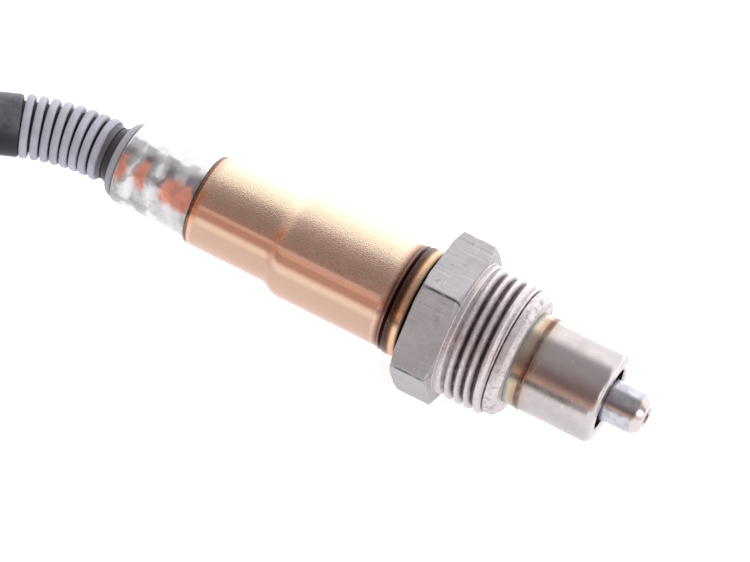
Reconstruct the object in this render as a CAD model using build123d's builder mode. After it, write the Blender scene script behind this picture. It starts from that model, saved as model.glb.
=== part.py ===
"""A screw-in nitrogen oxide sensor for an exhaust pipe, with its cable and connector.

Millimetres. X runs along the sensor and points out of its tip, and Z is up. The origin is the middle of
the thread, on the sensor's axis. The sensor lies with one flat of its hexagon on the surface below it.
"""

import os
from math import cos, pi, radians, sin, tan

from build123d import *

os.makedirs("parts", exist_ok=True)

# Clearances
press_gap = 0.05
slip_gap = 0.1

# Housing: hexagon, collar, thread, relief groove, pilot, front spigot and rear neck
hex_flats = 22.0
hex_thickness = 5.9
hex_face_dia = 23.2
hex_bevel_angle = 22.5
collar_rise = 0.05
collar_length = 0.95
thread_dia = 20.0
thread_length = 6.3
thread_bevel = 0.5
relief_dia = 18.1
relief_length = 0.6
pilot_dia = 18.8
pilot_length = 1.65
pilot_bevel = 0.75
spigot_dia = 12.8
spigot_length = 2.8
neck_dia = 14.4
neck_length = 5.0
front_bore_dia = 8.4
main_bore_dia = 11.2
bore_shoulder_depth = 9.2
lip_bore_dia = 9.8
lip_thickness = 0.7

# Outer protection tube
outer_tube_wall = 0.5
outer_tube_length = 13.45
outer_rim_radius = 1.1
outer_rim_width = 2.25
tube_weld_offset = 1.8
tube_weld_width = 0.9
tube_weld_height = 0.16

# Inner protection tube
inner_tube_dia = 6.3
inner_tube_wall = 0.4
inner_tube_reach = 5.75
inner_bevel_length = 1.25
inner_bevel_depth = 0.85
inner_end_radius = 0.3
inner_mouth_dia = 2.9
inner_flange_inset = 0.2
gas_hole_dia = 1.2
gas_hole_count = 6
gas_hole_offset = 3.0

# Ceramic element and its seals
element_width = 4.6
element_thickness = 1.4
element_tip_gap = 4.0
element_rear_reach = 16.0
slot_gap = 0.1
front_bush_nose_gap = 0.6
front_bush_length = 4.0
talc_length = 3.1
rear_bush_length = 4.9
press_ring_bore = 6.8

# Protective sleeve
sleeve_gap_to_hex = 1.0
sleeve_neck_gap = 0.175
sleeve_wall = 0.5
weld_ring_rise = 0.325
weld_ring_length = 2.2
weld_groove_width = 0.5
weld_groove_depth = 0.5
sleeve_large_length = 20.2
step_length = 1.8
step_radius = 0.7
small_sleeve_length = 13.3
small_sleeve_edge = 0.45

# Contact holder
holder_dia = 10.4
holder_length = 13.0
holder_flange_length = 1.4
holder_split = 0.1
contact_pitch = 1.25
contact_width = 0.7
contact_thickness = 0.4
contacts_per_side = 4
contact_depth = 10.0
clamp_wall = 0.4
clamp_length = 5.0

# Crimp shell
shell_dia = 12.3
shell_wall = 0.45
shell_hidden_length = 7.3
shell_seen_length = 12.3
shell_seat_length = 5.0
shell_seat_rise = 0.15
shell_rear_radius = 0.3
crimp_count = 2
crimp_pitch = 3.8
crimp_rear_offset = 3.4
crimp_depth = 0.4
crimp_floor = 0.7
crimp_slope = 0.55
crimp_sides = 8
crimp_flat_depth = 0.22

# Cable grommet
grommet_front_inset = 1.0
grommet_flange_inset = 0.35
grommet_flange_length = 0.35
grommet_cone_length = 2.5
grommet_cone_dia = 7.6
hose_socket_depth = 4.0

# Leads
lead_dia = 1.1
lead_row_gap = 1.9

# Bellows hose
hose_core_dia = 7.3
hose_bore_dia = 5.5
hose_spigot_dia = 6.9
hose_straight_past_cone = 0.6
hose_turn = 20.0
hose_turn_radius = 41.0
hose_turn_side = 0.75
hose_turn_down = 0.66
rib_dia = 9.4
rib_width = 1.25
rib_pitch = 1.755
rib_count = 8
rib_start = 0.85
rib_round = 0.45

# Cable: sheath, coil and tail
cable_dia = 9.2
coil_radius = 46.0
coil_section_gap = 0.15
coil_leave_angle = 285.0
coil_climb_angle = 45.0
tangent_length = 31.5
sheath_second_run = 16.5
tail_first_run = 16.0
tail_drop_run = 24.0
tail_last_run = 16.0
corner_share = 0.45
tie_thickness = 0.8
tie_width = 4.5
tie_head_stand = 3.6
tie_head_height = 6.0
tie_angles = (150.0, 245.0)

# Connector
connector_width = 22.0
connector_height = 16.0
connector_length = 30.0
connector_corner = 3.0
connector_bevel = 0.8
groove_start = 4.0
groove_step = 3.0
groove_width = 1.2
groove_depth = 0.8
boot_length = 12.0
boot_dia = 14.0
boot_end_dia = 10.6
latch_width = 8.0
latch_length = 16.0
latch_height = 2.2
lock_width = 16.0
lock_height = 2.4
lock_length = 5.0
lock_stand = 0.8
terminal_rows = 2
terminal_columns = 4
terminal_pitch = 4.0
terminal_row_pitch = 5.0
terminal_hole = 2.0
terminal_side = 1.4
terminal_depth = 12.0
terminal_recess = 0.8

# Stations along the axis
thread_front = thread_length / 2
thread_rear = -thread_length / 2
seat = thread_rear - collar_length
hex_rear = seat - hex_thickness
neck_rear = hex_rear - neck_length
relief_front = thread_front + relief_length
pilot_front = relief_front + pilot_length
spigot_front = pilot_front + spigot_length
bore_shoulder = spigot_front - bore_shoulder_depth
lip_front = neck_rear + lip_thickness
outer_tube_rear = pilot_front + press_gap
outer_tube_front = outer_tube_rear + outer_tube_length
inner_tube_front = outer_tube_front + inner_tube_reach
sleeve_front = hex_rear - sleeve_gap_to_hex
sleeve_step = sleeve_front - sleeve_large_length
sleeve_small = sleeve_step - step_length
sleeve_rear = sleeve_small - small_sleeve_length
shell_front = sleeve_rear + shell_hidden_length
shell_rear = sleeve_rear - shell_seen_length
surface = -hex_flats / 2


def turned(points):
    """A closed outline of (station, radius) points, on the plane through the axis."""
    with BuildSketch(Plane.XY) as outline:
        with BuildLine():
            Polyline(*points, close=True)
        make_face()
    return outline


def save(part, name):
    """Label a finished piece and write it."""
    part.label = name
    export_step(part, f"parts/{name}.step")


# Housing: the collar behind the thread is the wider, so that a gasket slides onto the seat
collar_r = thread_dia / 2 + collar_rise
hex_bevel_reach = hex_flats / 2 / cos(radians(30)) + slip_gap
hex_bevel = (hex_bevel_reach - hex_face_dia / 2) * tan(radians(hex_bevel_angle))
with BuildPart() as housing:
    with BuildSketch(Plane.YZ.offset(hex_rear)):
        RegularPolygon(hex_flats / 2, 6, major_radius=False)
    extrude(amount=hex_thickness)
    hex_corners = turned(
        [
            (hex_rear, 0),
            (hex_rear, hex_face_dia / 2),
            (hex_rear + hex_bevel, hex_bevel_reach),
            (seat - hex_bevel, hex_bevel_reach),
            (seat, hex_face_dia / 2),
            (seat, 0),
        ]
    )
    revolve(hex_corners.sketch, axis=Axis.X, mode=Mode.INTERSECT)
    body = turned(
        [
            (neck_rear, 0),
            (neck_rear, neck_dia / 2),
            (hex_rear + hex_thickness / 2, neck_dia / 2),
            (hex_rear + hex_thickness / 2, collar_r),
            (thread_rear, collar_r),
            (thread_rear, thread_dia / 2 - thread_bevel),
            (thread_rear + thread_bevel, thread_dia / 2),
            (thread_front - thread_bevel, thread_dia / 2),
            (thread_front, thread_dia / 2 - thread_bevel),
            (thread_front, relief_dia / 2),
            (relief_front, relief_dia / 2),
            (relief_front, pilot_dia / 2),
            (pilot_front - pilot_bevel, pilot_dia / 2),
            (pilot_front, pilot_dia / 2 - pilot_bevel),
            (pilot_front, spigot_dia / 2),
            (spigot_front, spigot_dia / 2),
            (spigot_front, 0),
        ]
    )
    revolve(body.sketch, axis=Axis.X)
    bore = turned(
        [
            (neck_rear, 0),
            (neck_rear, lip_bore_dia / 2),
            (lip_front, lip_bore_dia / 2),
            (lip_front, main_bore_dia / 2),
            (bore_shoulder, main_bore_dia / 2),
            (bore_shoulder, front_bore_dia / 2),
            (spigot_front, front_bore_dia / 2),
            (spigot_front, 0),
        ]
    )
    revolve(bore.sketch, axis=Axis.X, mode=Mode.SUBTRACT)
save(housing.part, "housing")

# Outer protection tube: pushed over the spigot, with a weld bead round its base
outer_bore = spigot_dia / 2 + press_gap
outer_r = outer_bore + outer_tube_wall
outer_mouth_r = outer_r - outer_rim_width
weld_middle = outer_tube_rear + tube_weld_offset
with BuildPart() as outer_tube:
    with BuildSketch(Plane.XY) as tube_wall:
        with BuildLine():
            Polyline(
                (outer_tube_rear, outer_bore),
                (outer_tube_rear, outer_r),
                (outer_tube_front, outer_r),
                (outer_tube_front, outer_mouth_r),
                (outer_tube_front - outer_tube_wall, outer_mouth_r),
                (outer_tube_front - outer_tube_wall, outer_bore),
                close=True,
            )
        make_face()
        rim_outside = tube_wall.vertices().sort_by_distance((outer_tube_front, outer_r))[0]
        fillet(rim_outside, outer_rim_radius)
        rim_inside = (outer_tube_front - outer_tube_wall, outer_bore)
        fillet(tube_wall.vertices().sort_by_distance(rim_inside)[0], outer_rim_radius - outer_tube_wall)
    revolve(axis=Axis.X)
    with BuildSketch(Plane.XY):
        with BuildLine():
            ThreePointArc(
                (weld_middle - tube_weld_width / 2, outer_r),
                (weld_middle, outer_r + tube_weld_height),
                (weld_middle + tube_weld_width / 2, outer_r),
            )
            Polyline(
                (weld_middle + tube_weld_width / 2, outer_r),
                (weld_middle + tube_weld_width / 2, outer_r - outer_tube_wall / 2),
                (weld_middle - tube_weld_width / 2, outer_r - outer_tube_wall / 2),
                (weld_middle - tube_weld_width / 2, outer_r),
            )
        make_face()
    revolve(axis=Axis.X)
save(outer_tube.part, "outer_protection_tube")

# Inner protection tube: a flange on the spigot's end, side holes for the gas, and a bevelled tip
inner_r = inner_tube_dia / 2
inner_bore = inner_r - inner_tube_wall
inner_flange_rear = spigot_front + press_gap
inner_flange_front = inner_flange_rear + inner_tube_wall
inner_flange_r = spigot_dia / 2 - inner_flange_inset
with BuildPart() as inner_tube:
    with BuildSketch(Plane.XY) as inner_wall:
        with BuildLine():
            Polyline(
                (inner_flange_rear, inner_bore),
                (inner_flange_rear, inner_flange_r),
                (inner_flange_front, inner_flange_r),
                (inner_flange_front, inner_r),
                (inner_tube_front - inner_bevel_length, inner_r),
                (inner_tube_front, inner_r - inner_bevel_depth),
                (inner_tube_front, inner_mouth_dia / 2),
                (inner_tube_front - inner_tube_wall, inner_mouth_dia / 2),
                (inner_tube_front - inner_tube_wall, inner_bore - inner_bevel_depth),
                (inner_tube_front - inner_bevel_length, inner_bore),
                close=True,
            )
        make_face()
        for corner in (
            (inner_tube_front, inner_r - inner_bevel_depth),
            (inner_tube_front - inner_bevel_length, inner_r),
        ):
            fillet(inner_wall.vertices().sort_by_distance(corner)[0], inner_end_radius)
    revolve(axis=Axis.X)
    for number in range(gas_hole_count):
        around = radians(360 / gas_hole_count * number)
        hole_plane = Plane(
            origin=(inner_flange_front + gas_hole_offset, 0, 0),
            x_dir=(1, 0, 0),
            z_dir=(0, cos(around), sin(around)),
        )
        with BuildSketch(hole_plane):
            Circle(gas_hole_dia / 2)
        extrude(amount=inner_tube_dia, mode=Mode.SUBTRACT)
save(inner_tube.part, "inner_protection_tube")

# Ceramic element: a flat strip through the whole sensor
element_front = inner_tube_front - element_tip_gap
element_rear = neck_rear - element_rear_reach
with BuildPart() as element:
    with BuildSketch(Plane.YZ.offset(element_rear)):
        Rectangle(element_width, element_thickness)
    extrude(amount=element_front - element_rear)
    chamfer(element.faces().sort_by(Axis.X)[-1].edges(), element_thickness / 4)
save(element.part, "sensor_element")


def ceramic_ring(front, rear, nose=None):
    """A pressed ring in the main bore with a slot for the element, and a nose in the front bore."""
    with BuildPart() as ring:
        with BuildSketch(Plane.YZ.offset(rear)):
            Circle(main_bore_dia / 2 - slip_gap)
        extrude(amount=front - rear)
        if nose is not None:
            with BuildSketch(Plane.YZ.offset(front)):
                Circle(front_bore_dia / 2 - slip_gap)
            extrude(amount=nose - front)
        with BuildSketch(Plane.YZ.offset(rear)):
            Rectangle(element_width + 2 * slot_gap, element_thickness + 2 * slot_gap)
        extrude(amount=element_front - rear, mode=Mode.SUBTRACT)
    return ring.part


front_bush_front = bore_shoulder - press_gap
front_bush_rear = front_bush_front - front_bush_length
talc_front = front_bush_rear - press_gap
talc_rear = talc_front - talc_length
rear_bush_front = talc_rear - press_gap
rear_bush_rear = rear_bush_front - rear_bush_length
front_bush_nose = spigot_front - front_bush_nose_gap
save(ceramic_ring(front_bush_front, front_bush_rear, front_bush_nose), "front_ceramic_bush")
save(ceramic_ring(talc_front, talc_rear), "talc_seal")
save(ceramic_ring(rear_bush_front, rear_bush_rear), "rear_ceramic_bush")

# Press ring: fills what is left between the rear bush and the rolled lip
press_ring_front = rear_bush_rear - press_gap
press_ring_rear = lip_front + press_gap
with BuildPart() as press_ring:
    with BuildSketch(Plane.YZ.offset(press_ring_rear)):
        Circle(main_bore_dia / 2 - slip_gap)
        Circle(press_ring_bore / 2, mode=Mode.SUBTRACT)
    extrude(amount=press_ring_front - press_ring_rear)
save(press_ring.part, "press_ring")

# Protective sleeve: welded ring on the housing's neck, large barrel, step and small barrel for the shell
shell_r = shell_dia / 2
shell_seat_r = shell_r + shell_seat_rise
neck_seat_r = neck_dia / 2 + press_gap
sleeve_r = neck_seat_r + sleeve_neck_gap + sleeve_wall
weld_ring_r = sleeve_r + weld_ring_rise
small_r = shell_seat_r + press_gap + sleeve_wall
ring_rear = sleeve_front - weld_ring_length
groove_rear = ring_rear - weld_groove_width
with BuildPart() as sleeve:
    with BuildSketch(Plane.XY) as sleeve_section:
        with BuildLine():
            Polyline(
                (sleeve_front, neck_seat_r),
                (sleeve_front, weld_ring_r),
                (ring_rear, weld_ring_r),
                (ring_rear - weld_groove_width / 2, weld_ring_r - weld_groove_depth),
                (groove_rear, weld_ring_r - slip_gap),
                (groove_rear - weld_groove_width, sleeve_r),
                (sleeve_step, sleeve_r),
                (sleeve_small, small_r),
                (sleeve_rear, small_r),
                (sleeve_rear, small_r - sleeve_wall),
                (sleeve_small, small_r - sleeve_wall),
                (sleeve_step, sleeve_r - sleeve_wall),
                (groove_rear - weld_groove_width, sleeve_r - sleeve_wall),
                (groove_rear - weld_groove_width, neck_seat_r),
                close=True,
            )
        make_face()
        for corner in (
            (sleeve_step, sleeve_r),
            (sleeve_small, small_r),
            (sleeve_step, sleeve_r - sleeve_wall),
            (sleeve_small, small_r - sleeve_wall),
        ):
            fillet(sleeve_section.vertices().sort_by_distance(corner)[0], step_radius)
        rear_corner = sleeve_section.vertices().sort_by_distance((sleeve_rear, small_r))[0]
        fillet(rear_corner, small_sleeve_edge)
    revolve(axis=Axis.X)
save(sleeve.part, "protective_sleeve")

# Contact holder: two ceramic halves round the element's rear end, flanged in the small barrel
holder_rear = sleeve_small - step_radius - holder_flange_length
contact_front = element_rear + contact_depth
pocket_half_height = element_thickness / 2 + press_gap + contact_thickness + slip_gap
pocket_width = (contacts_per_side - 1) * contact_pitch + contact_width + 4 * slip_gap
with BuildPart() as holder:
    with BuildSketch(Plane.YZ.offset(holder_rear)):
        Circle(holder_dia / 2)
    extrude(amount=holder_length)
    with BuildSketch(Plane.YZ.offset(holder_rear)):
        Circle(small_r - sleeve_wall - slip_gap)
    extrude(amount=holder_flange_length)
    with BuildSketch(Plane.YZ.offset(holder_rear)):
        Rectangle(pocket_width, 2 * pocket_half_height)
    extrude(amount=holder_length, mode=Mode.SUBTRACT)
with BuildPart() as holder_upper:
    add(holder.part)
    split(bisect_by=Plane.XY.offset(holder_split / 2), keep=Keep.TOP)
save(holder_upper.part, "contact_holder_upper")
with BuildPart() as holder_lower:
    add(holder.part)
    split(bisect_by=Plane.XY.offset(-holder_split / 2), keep=Keep.BOTTOM)
save(holder_lower.part, "contact_holder_lower")

# Contact strips: a row on each face of the element, each running back to its lead
lead_front = holder_rear - slip_gap
contact_z = element_thickness / 2 + press_gap + contact_thickness / 2
with BuildPart() as contacts:
    with BuildSketch(Plane.YZ.offset(lead_front + press_gap)):
        with GridLocations(contact_pitch, 2 * contact_z, contacts_per_side, 2):
            Rectangle(contact_width, contact_thickness)
    extrude(amount=contact_front - lead_front - press_gap)
save(contacts.part, "contact_springs")

# Spring band round the holder
clamp_middle = holder_rear + (holder_length + holder_flange_length) / 2
with BuildPart() as clamp:
    with BuildSketch(Plane.YZ.offset(clamp_middle - clamp_length / 2)):
        Circle(holder_dia / 2 + press_gap + clamp_wall)
        Circle(holder_dia / 2 + press_gap, mode=Mode.SUBTRACT)
    extrude(amount=clamp_length)
save(clamp.part, "contact_clamp")


def crimp_middle(number):
    """The station of a crimp, counted from the shell's rear end."""
    return shell_rear + crimp_rear_offset + number * crimp_pitch


def crimp_line(radius, start, end):
    """Points of a line along the shell at this radius, dipping by the crimp's depth at each crimp."""
    points = [(start, radius)]
    for number in reversed(range(crimp_count)):
        floor_front = crimp_middle(number) + crimp_floor / 2
        floor_rear = crimp_middle(number) - crimp_floor / 2
        points += [
            (floor_front + crimp_slope, radius),
            (floor_front, radius - crimp_depth),
            (floor_rear, radius - crimp_depth),
            (floor_rear - crimp_slope, radius),
        ]
    return points + [(end, radius)]


# Crimp shell: seated in the small barrel, then slightly smaller, with flats pressed in each crimp
seat_end = shell_front - shell_seat_length
crimp_flat_r = shell_r - crimp_depth - crimp_flat_depth
with BuildPart() as shell:
    shell_section = turned(
        [(shell_front, shell_seat_r), (seat_end, shell_seat_r)]
        + crimp_line(shell_r, seat_end - shell_wall, shell_rear)
        + crimp_line(shell_r - shell_wall, shell_front, shell_rear)[::-1]
    )
    revolve(shell_section.sketch, axis=Axis.X)
    for number in range(crimp_count):
        with BuildSketch(Plane.YZ.offset(crimp_middle(number) - (crimp_floor + crimp_slope) / 2)):
            Circle(shell_dia)
            RegularPolygon(crimp_flat_r, crimp_sides, major_radius=False, mode=Mode.SUBTRACT)
        extrude(amount=crimp_floor + crimp_slope, mode=Mode.SUBTRACT)
    rear_rings = shell.edges().filter_by(GeomType.CIRCLE).group_by(Axis.X)[0]
    fillet(rear_rings.sort_by(SortBy.RADIUS)[-1], shell_rear_radius)
save(shell.part, "crimp_shell")

# Cable grommet: squeezed in the shell, with a flange and a cone behind it
grommet_r = shell_r - shell_wall - press_gap
grommet_front = shell_front - grommet_front_inset
flange_front = shell_rear - press_gap
flange_rear = flange_front - grommet_flange_length
cone_rear = flange_rear - grommet_cone_length
hose_front = cone_rear + hose_socket_depth
with BuildPart() as grommet:
    grommet_section = turned(
        [(grommet_front, 0)]
        + crimp_line(grommet_r, grommet_front, flange_front)
        + [
            (flange_front, shell_r - grommet_flange_inset),
            (flange_rear, shell_r - grommet_flange_inset),
            (cone_rear, grommet_cone_dia / 2),
            (cone_rear, 0),
        ]
    )
    revolve(grommet_section.sketch, axis=Axis.X)
    with BuildSketch(Plane.YZ.offset(hose_front)):
        with GridLocations(contact_pitch, lead_row_gap, contacts_per_side, 2):
            Circle(lead_dia / 2 + press_gap)
    extrude(amount=grommet_front - hose_front, mode=Mode.SUBTRACT)
    with BuildSketch(Plane.YZ.offset(cone_rear)):
        Circle(hose_spigot_dia / 2 + press_gap)
    extrude(amount=hose_socket_depth, mode=Mode.SUBTRACT)
save(grommet.part, "cable_grommet")

# Bellows hose: straight out of the grommet, then along an arc that drops and turns to one side
turn = radians(hose_turn)
side_way = Vector(0, -hose_turn_side, -hose_turn_down).normalized()
turn_start = cone_rear - hose_straight_past_cone


def along_turn(angle):
    """The point on the hose's middle line after it has turned by this angle."""
    sideways = side_way * (hose_turn_radius * (1 - cos(angle)))
    return Vector(turn_start - hose_turn_radius * sin(angle), 0, 0) + sideways


def hose_way(angle):
    """The direction of the hose after it has turned by this angle."""
    return Vector(-cos(angle), 0, 0) + side_way * sin(angle)


def hose_line(begin):
    """The hose's middle line, from a station on its straight stretch to its end."""
    with BuildLine() as line:
        Line((begin, 0, 0), along_turn(0))
        ThreePointArc(along_turn(0), along_turn(turn / 2), along_turn(turn))
    return line.line


def hose_start(begin):
    """The plane across the hose at a station on its straight stretch."""
    return Plane(origin=(begin, 0, 0), x_dir=(0, 1, 0), z_dir=(-1, 0, 0))


hose_end = along_turn(turn)
spigot_begin = hose_front - press_gap
core_begin = cone_rear - press_gap
with BuildPart() as hose:
    with BuildSketch(hose_start(spigot_begin)):
        Circle(hose_spigot_dia / 2)
    sweep(path=hose_line(spigot_begin))
    with BuildSketch(hose_start(core_begin)):
        Circle(hose_core_dia / 2)
    sweep(path=hose_line(core_begin))
    for number in range(rib_count):
        angle = (rib_start + number * rib_pitch) / hose_turn_radius
        with BuildSketch(Plane(origin=along_turn(angle), z_dir=hose_way(angle))):
            Circle(rib_dia / 2)
        extrude(amount=rib_width / 2, both=True)
    hose_rings = hose.edges().filter_by(GeomType.CIRCLE)
    fillet(hose_rings.filter_by(lambda ring: ring.radius > hose_core_dia / 2 + press_gap), rib_round)
    with BuildSketch(hose_start(spigot_begin)):
        Circle(hose_bore_dia / 2)
    sweep(path=hose_line(spigot_begin), mode=Mode.SUBTRACT)
save(hose.part, "formed_hose")

# Leads: eight, in two rows, from the contacts to the hose's end
with BuildPart() as leads:
    with BuildSketch(hose_start(lead_front)):
        with GridLocations(contact_pitch, lead_row_gap, contacts_per_side, 2):
            Circle(lead_dia / 2)
    sweep(path=hose_line(lead_front))
save(leads.part, "lead_wires")

# Cable: a sheath from the hose down to the coil, a coil lying on its ties, and a tail to the connector
cable_r = cable_dia / 2
coil_section_r = cable_r + coil_section_gap
tie_inside_r = coil_section_r + slip_gap
low_z = surface + tie_thickness + tie_inside_r
high_z = low_z + cable_dia
end_way = hose_way(turn)
floor_way = Vector(end_way.X, end_way.Y, 0).normalized()
sheath_drop = end_way * ((hose_end.Z - low_z) / -end_way.Z)
sheath_points = [
    hose_end + end_way * press_gap,
    hose_end + sheath_drop,
    hose_end + sheath_drop + floor_way * sheath_second_run,
]
coil_entry = sheath_points[-1] + floor_way * tangent_length
coil_middle = coil_entry + Vector(-floor_way.Y, floor_way.X, 0) * coil_radius
leave = radians(coil_leave_angle)
leave_way = Vector(-sin(leave), cos(leave), 0)
coil_exit = Vector(coil_middle.X, coil_middle.Y, high_z) + Vector(cos(leave), sin(leave), 0) * coil_radius
tail_begin = coil_exit + leave_way * tangent_length
connector_z = surface + connector_height / 2
tail_drop = Vector(0, 0, connector_z - high_z)
tail_points = [tail_begin, tail_begin + leave_way * tail_first_run]
tail_points.append(tail_points[-1] + leave_way * tail_drop_run + tail_drop)
tail_points.append(tail_points[-1] + leave_way * tail_last_run)


def corner_radii(points):
    """The radius of each corner of a route: as large as its two runs allow."""
    radii = []
    for before, corner, after in zip(points, points[1:], points[2:]):
        run_in = corner - before
        run_out = after - corner
        half_turn = radians(run_in.get_angle(run_out)) / 2
        radii.append(corner_share * min(run_in.length, run_out.length) / tan(half_turn))
    return radii


def cable_tube(points):
    """A round cable along a route."""
    route_way = (points[1] - points[0]).normalized()
    with BuildPart() as tube:
        with BuildLine():
            route = FilletPolyline(*points, radius=corner_radii(points))
        with BuildSketch(Plane(origin=points[0], z_dir=route_way)):
            Circle(cable_r)
        sweep()
    radii = [round(radius, 1) for radius in corner_radii(points)]
    share = tube.part.volume / (route.length * pi * cable_r**2)
    print(f"cable run {route.length:.1f} mm, radii {radii}, volume {share:.4f} of section times length")
    return tube.part


save(cable_tube(sheath_points), "cable_sheath")
save(cable_tube(tail_points), "cable_tail")


def coil_section(angle):
    """The upright plane through the coil's axis at this angle round it."""
    around = radians(angle)
    return Plane(
        origin=(coil_middle.X, coil_middle.Y, 0),
        x_dir=(cos(around), sin(around), 0),
        z_dir=(sin(around), -cos(around), 0),
    )


# Coil: one turn all round, a second on top of it for part of the way, and the two ends leaving straight
coil_axis = Axis((coil_middle.X, coil_middle.Y, 0), (0, 0, 1))
two_turns_middle = (low_z + high_z) / 2
with BuildPart() as coil:
    with BuildSketch(coil_section(coil_climb_angle)):
        with Locations((coil_radius, low_z)):
            Circle(coil_section_r)
    revolve(axis=coil_axis)
    with BuildSketch(coil_section(coil_climb_angle)):
        with Locations((coil_radius, two_turns_middle)):
            SlotCenterToCenter(cable_dia, 2 * coil_section_r, rotation=90)
    revolve(axis=coil_axis, revolution_arc=coil_leave_angle - coil_climb_angle)
    with BuildSketch(Plane(origin=sheath_points[-1], z_dir=floor_way)):
        Circle(cable_r)
    extrude(amount=tangent_length)
    with BuildSketch(Plane(origin=coil_exit, z_dir=leave_way)):
        Circle(cable_r)
    extrude(amount=tangent_length)
save(coil.part, "cable_coil")

# Ties: a strap round both turns, with a locking head on the outside
with BuildPart() as ties:
    for angle in tie_angles:
        with BuildSketch(coil_section(angle)):
            with Locations((coil_radius, two_turns_middle)):
                SlotCenterToCenter(cable_dia, 2 * (tie_inside_r + tie_thickness), rotation=90)
            with Locations((coil_radius + tie_inside_r + tie_head_stand / 2, two_turns_middle)):
                RectangleRounded(tie_head_stand, tie_head_height, tie_thickness / 2)
            with Locations((coil_radius, two_turns_middle)):
                SlotCenterToCenter(cable_dia, 2 * tie_inside_r, rotation=90, mode=Mode.SUBTRACT)
        extrude(amount=tie_width / 2, both=True)
save(ties.part, "coil_ties")

# Connector: boot, housing with latch, terminals in their holes, and the lock pushed in between the rows
boot_rear = tail_points[-1]
housing_rear = boot_rear + leave_way * (boot_length + press_gap)
housing_front = housing_rear + leave_way * connector_length
connector_side = Vector(-leave_way.Y, leave_way.X, 0)


def across(point, distance=0):
    """The plane across the connector, a distance in front of a point on its axis."""
    return Plane(origin=point + leave_way * distance, x_dir=connector_side, z_dir=leave_way)


def front_face(part):
    """The face of a connector piece that is farthest from the cable."""
    return part.faces().sort_by(Axis(boot_rear, leave_way))[-1]


with BuildPart() as boot:
    with BuildSketch(across(boot_rear)):
        Circle(boot_end_dia / 2)
    with BuildSketch(across(boot_rear, boot_length)):
        Circle(boot_dia / 2)
    loft()
save(boot.part, "connector_boot")

with BuildPart() as connector:
    with BuildSketch(across(housing_rear)):
        RectangleRounded(connector_width, connector_height, connector_corner)
    extrude(amount=connector_length)
    chamfer(front_face(connector).edges(), connector_bevel)
    for station in (groove_start, groove_start + groove_step):
        with BuildSketch(across(housing_rear, station)):
            RectangleRounded(connector_width, connector_height, connector_corner)
            RectangleRounded(
                connector_width - 2 * groove_depth,
                connector_height - 2 * groove_depth,
                connector_corner - groove_depth,
                mode=Mode.SUBTRACT,
            )
        extrude(amount=groove_width, mode=Mode.SUBTRACT)
    latch_middle = housing_front - leave_way * (latch_length / 2 + connector_bevel)
    latch_foot = latch_middle + Vector(0, 0, connector_height / 2)
    with BuildSketch(Plane(origin=latch_foot, x_dir=leave_way, z_dir=(0, 0, 1))):
        Rectangle(latch_length, latch_width)
    extrude(amount=latch_height)
    chamfer(connector.faces().sort_by(Axis.Z)[-1].edges(), latch_height / 2)
    with BuildSketch(across(housing_front)):
        with GridLocations(terminal_pitch, terminal_row_pitch, terminal_columns, terminal_rows):
            Rectangle(terminal_hole, terminal_hole)
    extrude(amount=-terminal_depth, mode=Mode.SUBTRACT)
    with BuildSketch(across(housing_front)):
        Rectangle(lock_width + 2 * slip_gap, lock_height + 2 * slip_gap)
    extrude(amount=-lock_length - slip_gap, mode=Mode.SUBTRACT)
save(connector.part, "connector_housing")

with BuildPart() as terminals:
    with BuildSketch(across(housing_front, press_gap - terminal_depth)):
        with GridLocations(terminal_pitch, terminal_row_pitch, terminal_columns, terminal_rows):
            Rectangle(terminal_side, terminal_side)
    extrude(amount=terminal_depth - terminal_recess)
save(terminals.part, "connector_terminals")

with BuildPart() as lock:
    with BuildSketch(across(housing_front, -lock_length)):
        Rectangle(lock_width, lock_height)
    extrude(amount=lock_length + lock_stand)
    fillet(front_face(lock).edges(), lock_stand / 2)
save(lock.part, "connector_lock")
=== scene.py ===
"""Exhaust gas sensor with protection tubes, tinted sleeve, crimp shell, hose, cable and connector.

X runs along the sensor and out of its tip, Z is up, and the origin is the middle of the thread.
Outlines are written in millimetres and meshes are made in metres.
"""

from math import cos, pi, radians, sin, sqrt, tan

import bmesh
import bpy
from bpy.props import FloatProperty, FloatVectorProperty, IntProperty, PointerProperty
from mathutils import Matrix, Vector, noise


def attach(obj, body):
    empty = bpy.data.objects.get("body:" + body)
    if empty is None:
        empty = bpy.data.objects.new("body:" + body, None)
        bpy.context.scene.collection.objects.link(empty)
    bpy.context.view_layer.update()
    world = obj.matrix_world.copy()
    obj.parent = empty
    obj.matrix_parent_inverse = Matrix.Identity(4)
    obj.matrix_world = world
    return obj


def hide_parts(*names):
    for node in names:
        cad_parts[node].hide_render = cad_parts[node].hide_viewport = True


bl_info = {
    "name": "Exhaust gas sensor",
    "version": (1, 0, 0),
    "blender": (4, 5, 0),
    "location": "View3D > Sidebar > Sensor",
    "description": "Builds a screw-in exhaust gas sensor with its cable and connector",
    "category": "Add Mesh",
}

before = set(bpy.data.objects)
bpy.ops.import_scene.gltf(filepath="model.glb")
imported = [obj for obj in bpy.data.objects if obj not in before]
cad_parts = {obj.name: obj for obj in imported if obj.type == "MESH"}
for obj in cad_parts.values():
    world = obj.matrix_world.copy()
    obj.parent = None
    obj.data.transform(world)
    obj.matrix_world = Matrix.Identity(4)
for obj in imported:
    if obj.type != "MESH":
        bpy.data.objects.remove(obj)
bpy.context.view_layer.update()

MM = 0.001

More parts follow.
